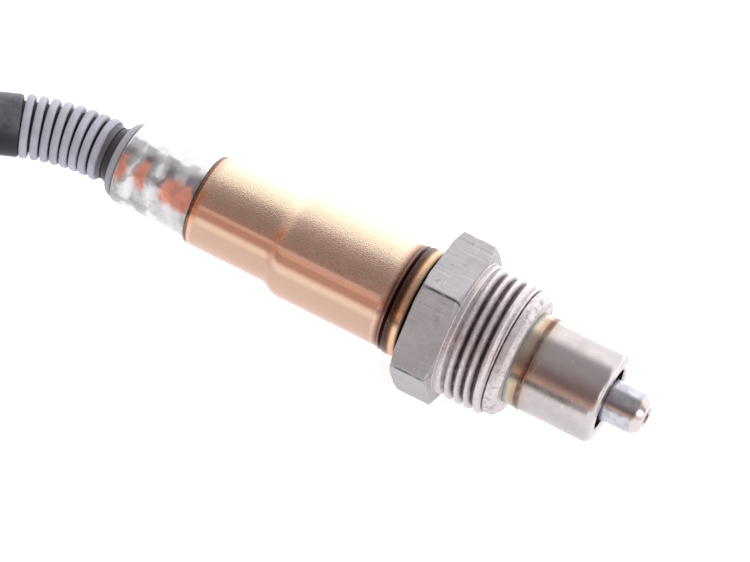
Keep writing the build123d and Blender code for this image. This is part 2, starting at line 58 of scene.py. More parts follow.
# Stations along the sensor, in millimetres from the middle of the thread
NECK_REAR = -15.0
HEX_REAR = -10.0
SEAT = -4.1
THREAD_REAR = -3.15
THREAD_END = 3.4
RELIEF_FRONT = 3.62
PILOT_FRONT = 5.4
SPIGOT_FRONT = 8.2
TUBE_REAR = 5.45
TUBE_FRONT = 18.9
TIP = 24.65
GAS_HOLES = 11.65
SLEEVE_FRONT = -11.0
RING_REAR = -13.2
SLEEVE_STEP = -31.2
SLEEVE_SMALL = -33.0
SLEEVE_REAR = -46.3
SHELL_FRONT = -39.0
SHELL_REAR = -58.6
LIP_FRONT = -58.65
LIP_REAR = -59.0
CONE_REAR = -61.5
# Middles of the two crimps
CRIMPS = (-51.4, -55.2)

# Radii in millimetres; the blank is the bar that the hexagon is cut from
HEX_BLANK = 12.0
HEX_FLAT = 11.0
HEX_CORNER = 12.6
NECK_RADIUS = 7.2
THREAD_RADIUS = 10.0
RELIEF_RADIUS = 9.22
PILOT_RADIUS = 9.4
SPIGOT_RADIUS = 6.4
TUBE_RADIUS = 6.95
TUBE_BORE = 6.45
RIM_ROUND = 1.1
INNER_RADIUS = 3.15
INNER_BORE = 2.75
RING_RADIUS = 8.25
SLEEVE_RADIUS = 7.925
SMALL_RADIUS = 6.85
SLEEVE_WALL = 0.5
SHELL_RADIUS = 6.15
SHELL_BORE = 5.7

# Form of the thread, as shares of its pitch: half of a crest, and a flank
HALF_CREST = 0.1
FLANK = 0.34

# Height of the floor that the sensor lies on, in millimetres
FLOOR_LEVEL = -11.0

# The bellows hose's middle line, in millimetres: straight, then a turn down and to one side
HOSE_TURN_START = -62.1
HOSE_TURN = radians(24)
HOSE_TURN_RADIUS = 32.3
HOSE_SIDE = Vector((0, -0.991, -0.133)).normalized()

# The cable's route in metres: to the coil, along the photographed hose at first, and from the coil to
# the connector
SHEATH_ROUTE = [
    (-0.0752, -0.00277, -0.00037),
    (-0.0855, -0.00758, -0.00103),
    (-0.0975, -0.0105, -0.0039),
    (-0.1105, -0.0124, -0.00535),
]
TAIL_ROUTE = [
    (-0.08342, -0.09938, 0.00385),
    (-0.06797, -0.09524, 0.00385),
    (-0.04479, -0.08903, -0.003),
    (-0.02933, -0.08489, -0.003),
]
# The coil's middle, radius and lowest height in metres, its first and last angle in degrees, and how many
# points it has in a turn
COIL_MIDDLE = Vector((-0.12576, -0.0631, 0.0))
COIL_RADIUS = 0.046
COIL_LOW = -0.00535
COIL_ENTER = 105.0
COIL_TURNS_END = 645.0
COIL_STEPS = 16
# How far the cable has climbed onto the first turn, at the coil's points that lie between the turns
COIL_CLIMB = {13: 0.2, 14: 0.95}

# Sides of the sensor, as angles about its axis from +Y towards +Z
UNDERSIDE = radians(222.5)
# Painted warm reflection is strongest on the next two sides
HOT_REFLECTING_SIDE = radians(147)
WARM_REFLECTION_SIDE = radians(146)

BLACK = (0.0, 0.0, 0.0)
WHITE = (1.0, 1.0, 1.0)


class SensorSizes(bpy.types.PropertyGroup):
    """Sizes that a maker would change without changing the fits."""

    thread_pitch: FloatProperty(
        name="Thread pitch", description="Distance from crest to crest", default=0.0015, unit="LENGTH"
    )
    thread_depth: FloatProperty(
        name="Thread depth",
        description="Depth of the thread below its crest",
        default=0.00088,
        unit="LENGTH",
    )
    thread_start: FloatProperty(
        name="Thread start",
        description="Where the thread begins its turns",
        default=0.00103,
        unit="LENGTH",
    )
    crimp_depth: FloatProperty(
        name="Crimp depth",
        description="Depth of the crimped rings in the rear shell",
        default=0.00045,
        unit="LENGTH",
    )
    crimp_sides: IntProperty(
        name="Crimp sides", description="Number of flats that the crimping jaws leave", default=8, min=3
    )
    rib_diameter: FloatProperty(
        name="Rib diameter", description="Outside of the bellows hose", default=0.0094, unit="LENGTH"
    )
    rib_width: FloatProperty(
        name="Rib width", description="Width of one rib", default=0.00118, unit="LENGTH"
    )
    rib_pitch: FloatProperty(
        name="Rib pitch", description="Distance from rib to rib", default=0.00168, unit="LENGTH"
    )
    rib_count: IntProperty(name="Rib count", description="Number of ribs on the hose", default=8, min=1)
    rib_round: FloatProperty(
        name="Rib round", description="Rounding of a rib's edges", default=0.00045, unit="LENGTH"
    )
    cable_diameter: FloatProperty(
        name="Cable diameter", description="Outside of the cable's sheath", default=0.0092, unit="LENGTH"
    )
    cable_length: FloatProperty(
        name="Cable length",
        description="From the bellows hose to the connector",
        default=0.586,
        unit="LENGTH",
    )


def colour(name, words, value):
    """A colour setting with its default."""
    return FloatVectorProperty(
        name=name, description=words, default=value, subtype="COLOR", size=3, min=0, max=1
    )


class SensorFinish(bpy.types.PropertyGroup):
    """Colours of the sensor's finishes."""

    hex_steel: colour("Hexagon steel", "Plain machined steel of the hexagon", (0.48, 0.45, 0.475))
    thread_crest: colour("Thread crest", "Bright metal on the thread's crests", (0.72, 0.655, 0.665))
    # Painted shade: stands for the shade deep in the thread's valleys, with a little grime
    thread_valley_shade: colour("Thread valley", "Dark grime in the thread's valleys", (0.06, 0.035, 0.04))
    tube_steel: colour("Tube steel", "Satin steel of the outer protection tube", (0.56, 0.51, 0.51))
    inner_steel: colour("Inner tube steel", "Polished steel of the inner tube", (0.56, 0.56, 0.61))
    shell_steel: colour("Shell steel", "Polished steel of the crimp shell", (0.76, 0.74, 0.76))
    # Painted reflection: the warm colour that the crimp shell mirrors along one side
    warm_reflection: colour("Warm_reflection", "Copper-coloured tarnish on the crimp shell", (0.86, 0.36, 0.27))
    tint: colour("Heat tint", "Copper-coloured heat tint of the sleeve", (0.77, 0.53, 0.41))
    # Orange heat tint, which also serves as painted warm reflection on one side of the sleeve
    tint_hot_and_reflection: colour("Hot tint", "Orange tint where the sleeve is formed", (0.86, 0.34, 0.17))
    tint_gold: colour("Gold tint", "Straw-gold tint beside the weld", (0.90, 0.58, 0.36))
    burn: colour("Weld burn", "Dark line that the weld leaves", (0.035, 0.013, 0.012))
    hose: colour("Hose", "Grey plastic of the bellows hose", (0.53, 0.51, 0.60))
    sheath: colour("Sheath", "Black sheath of the cable", (0.022, 0.022, 0.028))
    grommet: colour("Grommet", "Dark rubber of the grommet", (0.05, 0.04, 0.042))
    ceramic: colour("Ceramic", "Sintered ceramic inside the sensor", (0.80, 0.77, 0.70))
    contact: colour("Contact metal", "Contact strips and terminals", (0.72, 0.58, 0.30))
    lead: colour("Lead sleeving", "Sleeving of the eight leads", (0.62, 0.60, 0.54))
    connector: colour("Connector", "Black moulded connector", (0.03, 0.03, 0.032))
    lock: colour("Connector lock", "Grey lock in the connector", (0.30, 0.30, 0.32))


class SensorStage(bpy.types.PropertyGroup):
    """Strength of the light and of the floor's own glow."""

    floor_glow: FloatProperty(
        name="Floor glow", description="White that the floor adds of its own", default=0.7
    )
    fill: FloatProperty(name="Fill", description="Strength of the surrounding light", default=0.7)
    sky: FloatProperty(
        name="Sky", description="Brightness of the lit side of the room in reflections", default=1.6
    )
    key: FloatProperty(
        name="Key light", description="Power of the large soft lamp", default=1.8, unit="POWER"
    )


# ---- Meshes

def stretch(first, last, step):
    """Stations from first to last at about this step, both ends included."""
    count = max(1, round(abs(last - first) / step))
    return [first + (last - first) * place / count for place in range(count + 1)]


def mesh_from(name, bm):
    """A mesh from finished faces, pointing outwards."""
    bmesh.ops.recalc_face_normals(bm, faces=bm.faces)
    mesh = bpy.data.meshes.new(name)
    bm.to_mesh(mesh)
    bm.free()
    return mesh


def in_scene(name, data):
    """A new object in the scene."""
    made = bpy.data.objects.new(name, data)
    bpy.context.scene.collection.objects.link(made)
    return made


def evaluated(holder):
    """The mesh that an object's modifiers make of it. The object is removed."""
    graph = bpy.context.evaluated_depsgraph_get()
    mesh = bpy.data.meshes.new_from_object(holder.evaluated_get(graph))
    bpy.data.objects.remove(holder)
    return mesh


def turned(name, outline, columns=160, shape=None):
    """A mesh turned about X from a closed outline of (station, radius), which shape may move."""
    bm = bmesh.new()
    rings = []
    for column in range(columns):
        angle = 2 * pi * column / columns
        ring = []
        for station, radius in outline:
            if shape is not None:
                station, radius = shape(station, radius, angle)
            place = (station * MM, radius * MM * cos(angle), radius * MM * sin(angle))
            ring.append(bm.verts.new(place))
        rings.append(ring)
    for column in range(columns):
        here = rings[column]
        there = rings[(column + 1) % columns]
        for place in range(len(outline)):
            following = (place + 1) % len(outline)
            bm.faces.new((here[place], here[following], there[following], there[place]))
    bmesh.ops.remove_doubles(bm, verts=bm.verts, dist=1e-7)
    return mesh_from(name, bm)


def make_piece(name, mesh, finishes, replaces=(), sharp=40):
    """A finished piece: its shading, its finishes, its body and the nodes that it stands for."""
    mesh.shade_smooth()
    mesh.set_sharp_from_angle(angle=radians(sharp))
    for finish in finishes:
        mesh.materials.append(finish)
    made = in_scene(name, mesh)
    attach(made, "root")
    if replaces:
        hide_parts(*replaces)
    return made


def dress(node, finish):
    """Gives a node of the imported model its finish."""
    node_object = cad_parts[node]
    node_object.data.materials.clear()
    node_object.data.materials.append(finish)


def softened_copy(name, node, finish, width):
    """A copy of a node with its edges rounded, which stands for it."""
    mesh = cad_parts[node].data.copy()
    mesh.materials.clear()
    bm = bmesh.new()
    bm.from_mesh(mesh)
    bmesh.ops.remove_doubles(bm, verts=bm.verts, dist=1e-6)
    bmesh.ops.dissolve_limit(bm, angle_limit=radians(2), verts=bm.verts, edges=bm.edges)
    bm.to_mesh(mesh)
    bm.free()
    holder = in_scene(name, mesh)
    bevel = holder.modifiers.new("Soft edges", "BEVEL")
    bevel.width = width
    bevel.segments = 2
    bevel.limit_method = "ANGLE"
    bevel.angle_limit = radians(35)
    bevel.harden_normals = False
    rounded = evaluated(holder)
    rounded.name = name
    return make_piece(name, rounded, [finish], [node], sharp=30)


def hose_point(angle):
    """The point on the hose's middle line after this turn, in metres."""
    along = Vector((HOSE_TURN_START - HOSE_TURN_RADIUS * sin(angle), 0, 0))
    return (along + HOSE_SIDE * HOSE_TURN_RADIUS * (1 - cos(angle))) * MM


def tube_along(name, points, radius_at, columns=32):
    """A closed round tube along a line of points, with a radius for each distance from its start."""
    bm = bmesh.new()
    angles = [2 * pi * column / columns for column in range(columns)]
    circle = [(cos(angle), sin(angle)) for angle in angles]
    rings = []
    side = None
    distance = 0.0
    for number, point in enumerate(points):
        before = points[max(number - 1, 0)]
        after = points[min(number + 1, len(points) - 1)]
        along = (after - before).normalized()
        if side is None:
            side = along.cross(Vector((0, 0, 1))).normalized()
        side = (side - along * side.dot(along)).normalized()
        up = along.cross(side)
        distance += (point - before).length
        radius = radius_at(distance)
        ring = [point + (side * across + up * above) * radius for across, above in circle]
        rings.append([bm.verts.new(place) for place in ring])
    for here, there in zip(rings, rings[1:]):
        for column in range(columns):
            following = (column + 1) % columns
            bm.faces.new((here[column], there[column], there[following], here[following]))
    bm.faces.new(rings[0])
    bm.faces.new(rings[-1])
    return mesh_from(name, bm)


# ---- Finishes

class Nodes:
    """The nodes of one tree: a finish, the room, or the ribs of the hose."""

    def __init__(self, tree):
        self.tree = tree

    def add(self, kind, inputs=None, **settings):
        """A node with its settings and inputs."""
        node = self.tree.nodes.new(kind)
        for key, value in settings.items():
            setattr(node, key, value)
        for key, value in (inputs or {}).items():
            self.feed(node.inputs[key], value)
        return node

    def feed(self, socket, value):
        """Links an output to a socket, or sets the socket's own value."""
        if isinstance(value, bpy.types.NodeSocket):
            self.tree.links.new(value, socket)
        elif socket.type == "RGBA" and len(value) == 3:
            socket.default_value = (*value, 1)
        else:
            socket.default_value = value

    def calc(self, operation, first, second=0.0):
        """One arithmetic step."""
        return self.add("ShaderNodeMath", {0: first, 1: second}, operation=operation).outputs[0]

    def times(self, first, second):
        """A product."""
        return self.calc("MULTIPLY", first, second)

    def ramp(self, value, stops):
        """A colour for each value."""
        node = self.add("ShaderNodeValToRGB", {0: value})
        elements = node.color_ramp.elements
        while len(elements) < len(stops):
            elements.new(0.5)
        for element, (position, tone) in zip(elements, stops):
            element.position = position
            element.color = (*tone, 1)
        return node.outputs[0]

    def blend(self, share, first, second, mode="MIX"):
        """One colour turning into another."""
        inputs = {0: share, 6: first, 7: second}
        return self.add("ShaderNodeMix", inputs, data_type="RGBA", blend_type=mode).outputs[2]


class Surface(Nodes):
    """One finish, on the piece's own coordinates."""

    def __init__(self, name, metallic, roughness):
        self.material = bpy.data.materials.new(name)
        self.material.use_nodes = True
        super().__init__(self.material.node_tree)
        self.shader = self.tree.nodes["Principled BSDF"]
        self.shader.inputs["Metallic"].default_value = metallic
        self.shader.inputs["Roughness"].default_value = roughness
        self.place = self.add("ShaderNodeTexCoord").outputs["Object"]
        self.x, self.y, self.z = self.add("ShaderNodeSeparateXYZ", {0: self.place}).outputs

    def mapped(self, scale=(1, 1, 1), turn=(0, 0, 0)):
        """The piece's coordinates, stretched and turned."""
        inputs = {"Vector": self.place, "Rotation": turn, "Scale": scale}
        return self.add("ShaderNodeMapping", inputs).outputs[0]

    def noise(self, scale, detail=3.0, roughness=0.5, vector=None):
        """Soft random grey."""
        inputs = {"Scale": scale, "Detail": detail, "Roughness": roughness}
        return self.add("ShaderNodeTexNoise", {"Vector": vector or self.place, **inputs}).outputs[0]

    def cells(self, scale, vector=None):
        """Distance to the nearest of many scattered points."""
        inputs = {"Vector": vector or self.place, "Scale": scale}
        return self.add("ShaderNodeTexVoronoi", inputs).outputs["Distance"]

    def shaken(self, scale, reach):
        """The piece's coordinates, each moved a little way at random, in metres."""
        inputs = {"Vector": self.place, "Scale": scale, "Detail": 2.0}
        way = {0: self.add("ShaderNodeTexNoise", inputs).outputs[1], 1: (0.5, 0.5, 0.5)}
        way = {0: self.add("ShaderNodeVectorMath", way, operation="SUBTRACT").outputs[0], "Scale": reach}
        way = {0: self.place, 1: self.add("ShaderNodeVectorMath", way, operation="SCALE").outputs[0]}
        return self.add("ShaderNodeVectorMath", way, operation="ADD").outputs[0]

    def between(self, value, low, high, out_low=0.0, out_high=1.0):
        """value's place from low to high, moved to the other range and kept inside it."""
        inputs = {"Value": value, "From Min": low, "From Max": high}
        inputs |= {"To Min": out_low, "To Max": out_high}
        return self.add("ShaderNodeMapRange", inputs, interpolation_type="SMOOTHSTEP").outputs[0]

    def radius(self):
        """Distance from the sensor's axis, in metres."""
        across = self.calc("POWER", self.y, 2.0)
        above = self.calc("POWER", self.z, 2.0)
        return self.calc("SQRT", self.calc("ADD", across, above))

    def facing(self, angle):
        """How much a point lies on the side at this angle about the sensor's axis, from -1 to 1."""
        across = self.times(self.y, cos(angle))
        above = self.times(self.z, sin(angle))
        return self.calc("DIVIDE", self.calc("ADD", across, above), self.radius())

    def along(self, first, last):
        """How far a point lies from one station to another, from 0 to 1."""
        inputs = {"Value": self.x, "From Min": first * MM, "From Max": last * MM}
        return self.add("ShaderNodeMapRange", inputs).outputs[0]

    def paint(self, tone):
        """Sets the base colour."""
        self.feed(self.shader.inputs["Base Color"], tone)

    def metal(self, value):
        """Sets how metallic the surface is."""
        self.feed(self.shader.inputs["Metallic"], value)

    def rough(self, value):
        """Sets the roughness."""
        self.feed(self.shader.inputs["Roughness"], value)

    def relief(self, *layers):
        """Stacks bumps: each layer is a height, a strength and a depth in metres."""
        normal = None
        for height, strength, depth in layers:
            inputs = {"Height": height, "Strength": strength, "Distance": depth}
            if normal is not None:
                inputs["Normal"] = normal
            normal = self.add("ShaderNodeBump", inputs).outputs[0]
        self.feed(self.shader.inputs["Normal"], normal)


def alternating(first, second, *spans):
    """Stops of a ramp that goes to and fro between two tones. Each span is where one of them holds."""
    stops = []
    for number, span in enumerate(spans):
        stops += [(position, second if number % 2 else first) for position in span]
    return stops


def shade(tone, share):
    """A colour made darker or lighter."""
    return tuple(min(1.0, part * share) for part in tone)


def hexagon_steel():
    """Machined steel with slanting scratches and small dents, with painted shade, near black, on the neck
    behind the hexagon and inside its bore.
    """
    tone = bpy.context.scene.sensor_finish.hex_steel
    steel = Surface("Hexagon_steel", 0.3, 0.42)
    scratch = steel.noise(900, 4, 0.7, steel.mapped((0.14, 2.4, 2.4), (0, radians(28), radians(34))))
    cross = steel.noise(1300, 3, 0.6, steel.mapped((2.4, 0.2, 2.4), (0, radians(-20), radians(58))))
    cloud = steel.noise(330, 6, 0.75)
    spots = steel.cells(330, steel.shaken(900, 0.0012))
    base = steel.blend(steel.between(cloud, 0.3, 0.75), shade(tone, 0.86), shade(tone, 1.1))
    base = steel.blend(steel.between(scratch, 0.56, 0.68, 0.0, 0.7), base, shade(tone, 1.5))
    base = steel.blend(steel.between(scratch, 0.44, 0.32, 0.0, 0.55), base, shade(tone, 0.6))
    base = steel.blend(steel.between(cross, 0.6, 0.68, 0.0, 0.45), base, shade(tone, 1.5))
    base = steel.blend(steel.between(spots, 0.03, 0.14, 0.5, 0.0), base, shade(tone, 0.4))
    # Darker along the hexagon's edges, in patches
    turn = steel.calc("ARCTAN2", steel.z, steel.y)
    off_edge = steel.calc("ABSOLUTE", steel.calc("SINE", steel.times(turn, 3.0)))
    edge_darkened = steel.times(steel.between(off_edge, 0.02, 0.07, 1.0, 0.0), steel.between(cloud, 0.4, 0.55))
    base = steel.blend(edge_darkened, base, shade(tone, 0.25))
    # Painted shade: near black on the neck behind the hexagon and inside its bore
    off_neck_shade = steel.between(steel.radius(), 0.0076, 0.0088)
    steel.paint(steel.blend(off_neck_shade, (0.02, 0.014, 0.012), base))
    steel.rough(steel.between(cloud, 0.3, 0.8, 0.36, 0.5))
    steel.relief((scratch, 0.4, 0.00004), (cloud, 0.35, 0.00006))
    return steel.material


def thread_steel():
    """Worn steel, bright on the crests, with painted shade that darkens it into the valleys."""
    colours = bpy.context.scene.sensor_finish
    steel = Surface("Thread_steel", 0.6, 0.38)
    height = steel.between(steel.radius(), 0.0089, 0.0099)
    wear = steel.noise(700, 5, 0.7)
    fine = steel.noise(2600, 3, 0.6)
    # Painted shade: darker the deeper a point lies in the thread, shifted a little by random wear
    shade_and_grime = steel.calc("ADD", height, steel.between(wear, 0.35, 0.75, -0.16, 0.16))
    tone = steel.ramp(
        shade_and_grime,
        [
            (0.0, colours.thread_valley_shade),
            (0.2, shade(colours.thread_valley_shade, 2.2)),
            (0.48, shade(colours.thread_crest, 0.62)),
            (0.85, colours.thread_crest),
        ],
    )
    specked = steel.between(fine, 0.35, 0.5, 0.3, 0.0)
    steel.paint(steel.blend(specked, tone, shade(colours.thread_crest, 0.35)))
    steel.rough(steel.between(wear, 0.3, 0.8, 0.28, 0.5))
    steel.relief((wear, 0.6, 0.00006), (fine, 0.4, 0.00003))
    return steel.material


def pilot_steel():
    """Mottled light steel of the pilot."""
    tone = bpy.context.scene.sensor_finish.thread_crest
    steel = Surface("Pilot_steel", 0.55, 0.42)
    mottle = steel.noise(1100, 6, 0.8)
    patches = steel.noise(330, 3, 0.6)
    shades = [(0.34, shade(tone, 0.4)), (0.47, shade(tone, 0.9)), (0.66, shade(tone, 1.15))]
    base = steel.ramp(mottle, shades)
    steel.paint(steel.blend(steel.between(patches, 0.45, 0.7, 0.0, 0.6), base, shade(tone, 1.05)))
    steel.rough(steel.between(mottle, 0.3, 0.7, 0.5, 0.36))
    steel.relief((mottle, 0.5, 0.00006))
    return steel.material


def sleeve_steel():
    """Blasted steel with a copper-coloured heat tint, gold and brown where it is welded, with painted
    highlight along its top, painted glints, and painted warm reflection on its underside and one side.
    """
    colours = bpy.context.scene.sensor_finish
    tint = colours.tint
    gold = colours.tint_gold
    steel = Surface("Tinted_steel", 1.0, 0.3)
    grain = steel.noise(7000, 2, 0.6)
    speckle = steel.cells(6000)
    cloud = steel.noise(150, 4, 0.6)
    along = steel.along(SLEEVE_REAR, SLEEVE_FRONT)
    base = steel.ramp(
        along,
        [
            (0.0, colours.burn),
            (0.007, shade(colours.burn, 1.5)),
            (0.012, shade(gold, 0.3)),
            (0.017, colours.burn),
            (0.022, tint),
            (0.885, tint),
            (0.901, (0.40, 0.22, 0.15)),
            (0.909, (0.07, 0.028, 0.04)),
            (0.919, (0.28, 0.12, 0.07)),
            (0.928, (0.05, 0.018, 0.022)),
            (0.956, colours.burn),
            (0.965, (0.26, 0.10, 0.045)),
            (0.975, gold),
            (0.99, shade(gold, 0.85)),
            (1.0, colours.burn),
        ],
    )
    # The plain length between the burnt rear edge and the weld
    plain = steel.ramp(along, alternating(BLACK, WHITE, (0.03,), (0.05, 0.87), (0.89,)))
    browned = steel.times(steel.between(cloud, 0.3, 0.7, 0.25, 0.6), plain)
    base = steel.blend(browned, base, shade(tint, 0.72))
    # Painted highlight: a pale straw colour along its top, where the light falls
    under = steel.facing(UNDERSIDE)
    top_highlight = steel.times(steel.between(under, -0.35, -0.6), plain)
    base = steel.blend(top_highlight, base, (0.88, 0.72, 0.54))
    # Orange behind the burnt edge and at the step: heat tint, and painted warm reflection that makes it
    # strongest on one side
    places = alternating(BLACK, WHITE, (0.017,), (0.024,), (0.06, 0.365), (0.395,), (0.43,))
    hot_and_reflected = steel.between(steel.facing(HOT_REFLECTING_SIDE), 0.86, 0.97, 0.1, 1.0)
    hot_and_reflected = steel.times(steel.ramp(along, places), hot_and_reflected)
    base = steel.blend(hot_and_reflected, base, colours.tint_hot_and_reflection)
    # Painted glints: small bright cream specks over the blasted grain
    base = steel.blend(steel.between(speckle, 0.05, 0.35, 0.2, 0.0), base, (0.98, 0.88, 0.78))
    painted = steel.blend(steel.between(speckle, 0.4, 0.7, 0.0, 0.22), base, shade(tint, 0.5))
    # The underside was never blasted: smooth and rather dull, with stripes of painted reflection in
    # orange, pale and peach, for the room and floor that it mirrors
    blasted = steel.between(under, 0.3, 0.16)
    dull = steel.times(steel.between(under, 0.12, 0.2), plain)
    reflection_stripes = steel.ramp(
        steel.calc("SUBTRACT", under, steel.between(along, 0.4, 0.44, 0.0, 0.05)),
        [
            (0.15, (0.86, 0.47, 0.33)),
            (0.22, (0.82, 0.43, 0.29)),
            (0.27, (0.60, 0.28, 0.18)),
            (0.36, (0.60, 0.29, 0.19)),
            (0.44, (0.96, 0.64, 0.45)),
            (0.50, (0.96, 0.65, 0.47)),
            (0.58, (0.74, 0.47, 0.35)),
            (0.85, (0.72, 0.47, 0.36)),
            (1.0, (0.74, 0.51, 0.41)),
        ],
    )
    reflection_striped = steel.times(dull, steel.between(hot_and_reflected, 0.0, 1.0, 1.0, 0.3))
    steel.paint(steel.blend(reflection_striped, painted, reflection_stripes))
    steel.metal(steel.between(dull, 0.0, 1.0, 1.0, 0.2))
    steel.rough(steel.calc("ADD", steel.between(grain, 0.3, 0.7, 0.2, 0.27), steel.times(blasted, 0.08)))
    steel.relief((speckle, steel.times(blasted, 0.9), 0.00006), (grain, 0.4, 0.00002))
    return steel.material


def shell_steel():
    """Bright crimped steel with dark smears, painted dark reflections, painted highlights on the crimps,
    and a painted copper-coloured reflection on one side.
    """
    tone = bpy.context.scene.sensor_finish.shell_steel
    warm_reflection = bpy.context.scene.sensor_finish.warm_reflection
    steel = Surface("Crimped_steel", 1.0, 0.2)
    dents = steel.noise(300, 1, 0.5)
    smear = steel.noise(300, 3, 0.6)
    patch = steel.noise(330, 2, 0.5)
    warp = steel.between(patch, 0.3, 0.7, -0.03, 0.03)
    along = steel.calc("ADD", steel.along(SLEEVE_REAR, SHELL_REAR), warp)
    under = steel.facing(UNDERSIDE)
    below_top = steel.between(under, -0.52, -0.22)
    # Dark smears, partly painted dark reflection, kept off the top
    smear_and_dark_reflection = steel.times(below_top, steel.between(smear, 0.46, 0.64, 0.0, 0.7))
    base = steel.blend(smear_and_dark_reflection, tone, shade(tone, 0.55))
    # Painted dark reflections: bands round it, which fade towards the underside
    dark_reflection_bands = alternating(
        (0.34, 0.32, 0.34),
        WHITE,
        (0.0, 0.13),
        (0.2, 0.28),
        (0.34, 0.42),
        (0.46, 0.55),
        (0.62, 0.69),
        (0.76, 0.84),
        (0.9, 0.96),
        (1.0,),
    )
    dark_reflection_share = steel.times(below_top, steel.between(under, 0.0, 0.35, 0.85, 0.2))
    base = steel.blend(dark_reflection_share, base, steel.ramp(along, dark_reflection_bands), "MULTIPLY")
    # Painted highlights: white on the crimps' edges
    crimp_highlights = alternating(BLACK, WHITE, (0.0, 0.47), (0.51,), (0.55, 0.76), (0.8,), (0.84, 1.0))
    crimp_highlight_share = steel.times(steel.ramp(along, crimp_highlights), steel.between(smear, 0.64, 0.5))
    base = steel.blend(crimp_highlight_share, base, (1.0, 0.97, 1.0))
    # Painted reflection: a warm copper colour in patches along one side, with a ragged border
    patches = alternating(
        BLACK, WHITE, (0.0,), (0.05, 0.36), (0.42, 0.57), (0.61, 0.72), (0.76, 0.86), (0.9, 0.97), (1.0,)
    )
    ragged = steel.between(smear, 0.3, 0.7, -0.03, 0.03)
    side = steel.between(steel.calc("ADD", steel.facing(WARM_REFLECTION_SIDE), ragged), 0.9, 0.97)
    copper = steel.times(side, steel.ramp(along, patches))
    warm_reflection_tone = steel.blend(steel.between(smear, 0.35, 0.65), shade(warm_reflection, 0.85), shade(warm_reflection, 1.1))
    steel.paint(steel.blend(copper, base, warm_reflection_tone))
    dull = steel.calc("MAXIMUM", copper, crimp_highlight_share)
    steel.metal(steel.between(dull, 0.0, 1.0, 0.5, 0.25))
    steel.rough(steel.between(smear, 0.35, 0.75, 0.16, 0.32))
    steel.relief((dents, 0.9, 0.0009))
    return steel.material


def tube_steel():
    """Satin tube steel with scratches, and the tints of its weld."""
    colours = bpy.context.scene.sensor_finish
    tone = colours.tube_steel
    steel = Surface("Tube_steel", 1.0, 0.22)
    scratch = steel.noise(700, 5, 0.75, steel.mapped((1, 0.3, 0.3), (0, 0, radians(-35))))
    cloud = steel.noise(260, 4, 0.6)
    specks = steel.cells(900)
    base = steel.ramp(
        steel.along(TUBE_REAR, TUBE_FRONT),
        [
            (0.0, (0.42, 0.43, 0.42)),
            (0.06, (0.55, 0.47, 0.34)),
            (0.115, (0.46, 0.28, 0.16)),
            (0.132, (0.16, 0.06, 0.035)),
            (0.156, (0.09, 0.035, 0.025)),
            (0.178, (0.2, 0.08, 0.05)),
            (0.2, (0.5, 0.42, 0.34)),
            (0.27, tone),
            (1.0, tone),
        ],
    )
    base = steel.blend(steel.between(cloud, 0.35, 0.7, 0.0, 0.5), base, shade(tone, 0.78))
    base = steel.blend(steel.between(specks, 0.02, 0.1, 0.5, 0.0), base, shade(tone, 1.7))
    steel.paint(steel.blend(steel.between(scratch, 0.62, 0.7, 0.0, 0.6), base, shade(tone, 1.7)))
    steel.rough(steel.between(cloud, 0.3, 0.75, 0.18, 0.32))
    steel.relief((scratch, 0.3, 0.00003), (cloud, 0.25, 0.00006))
    return steel.material


def inner_tube_steel():
    """Polished steel of the inner tube, clouded towards its tip."""
    tone = bpy.context.scene.sensor_finish.inner_steel
    steel = Surface("Inner_tube_steel", 1.0, 0.18)
    cloud = steel.noise(700, 4, 0.6)
    base = steel.blend(steel.between(cloud, 0.35, 0.7), tone, shade(tone, 0.75))
    bevelled = steel.between(steel.x, 0.0231, 0.0236)
    steel.paint(steel.blend(bevelled, base, (0.62, 0.55, 0.54)))
    steel.rough(steel.between(cloud, 0.3, 0.7, 0.12, 0.28))
    steel.relief((cloud, 0.25, 0.00004))
    return steel.material


def moulded(name, tone, roughness, grain=1800, contrast=0.25):
    """Moulded plastic or rubber with a fine grain and faint clouds."""
    plastic = Surface(name, 0.0, roughness)
    cloud = plastic.noise(260, 4, 0.6)
    fine = plastic.noise(grain, 2, 0.5)
    clouded = plastic.between(cloud, 0.3, 0.75)
    plastic.paint(plastic.blend(clouded, shade(tone, 1 - contrast), shade(tone, 1 + contrast)))
    plastic.rough(plastic.between(fine, 0.3, 0.7, roughness - 0.06, roughness + 0.08))
    plastic.relief((fine, 0.3, 0.00002))
    return plastic.material


def grommet_rubber():
    """Brown-black rubber, dusty on its lip."""
    tone = bpy.context.scene.sensor_finish.grommet
    rubber = Surface("Grommet_rubber", 0.0, 0.45)
    fine = rubber.noise(1800, 3, 0.6)
    dusty = rubber.between(rubber.radius(), 0.0049, 0.0053)
    edge_darkened = rubber.times(dusty, rubber.between(fine, 0.2, 0.6, 0.8, 1.0))
    rubber.paint(rubber.blend(edge_darkened, tone, (0.42, 0.41, 0.46)))
    rubber.rough(rubber.between(fine, 0.3, 0.7, 0.36, 0.55))
    rubber.relief((fine, 0.3, 0.00003))
    return rubber.material


def sheath_rubber():
    """Black sheathing with a dusty bloom, which is kept to its top as painted highlight."""
    tone = bpy.context.scene.sensor_finish.sheath
    rubber = Surface("Sheath_rubber", 0.0, 0.42)
    rubber.shader.inputs["Specular IOR Level"].default_value = 0.25
    bloom = rubber.noise(420, 5, 0.65)
    fine = rubber.noise(2200, 3, 0.6)
    # Painted highlight: the dusty bloom shows only on the cable's top, where the light falls
    lit_top = rubber.between(rubber.z, 0.0005, 0.0032, 0.05, 1.0)
    dusty = rubber.times(lit_top, rubber.between(bloom, 0.3, 0.72, 0.35, 1.0))
    rubber.paint(rubber.blend(dusty, tone, (0.15, 0.15, 0.17)))
    rubber.rough(rubber.between(bloom, 0.3, 0.75, 0.3, 0.55))
    rubber.relief((bloom, 0.3, 0.0001), (fine, 0.35, 0.00003))
    return rubber.material


# ---- Pieces

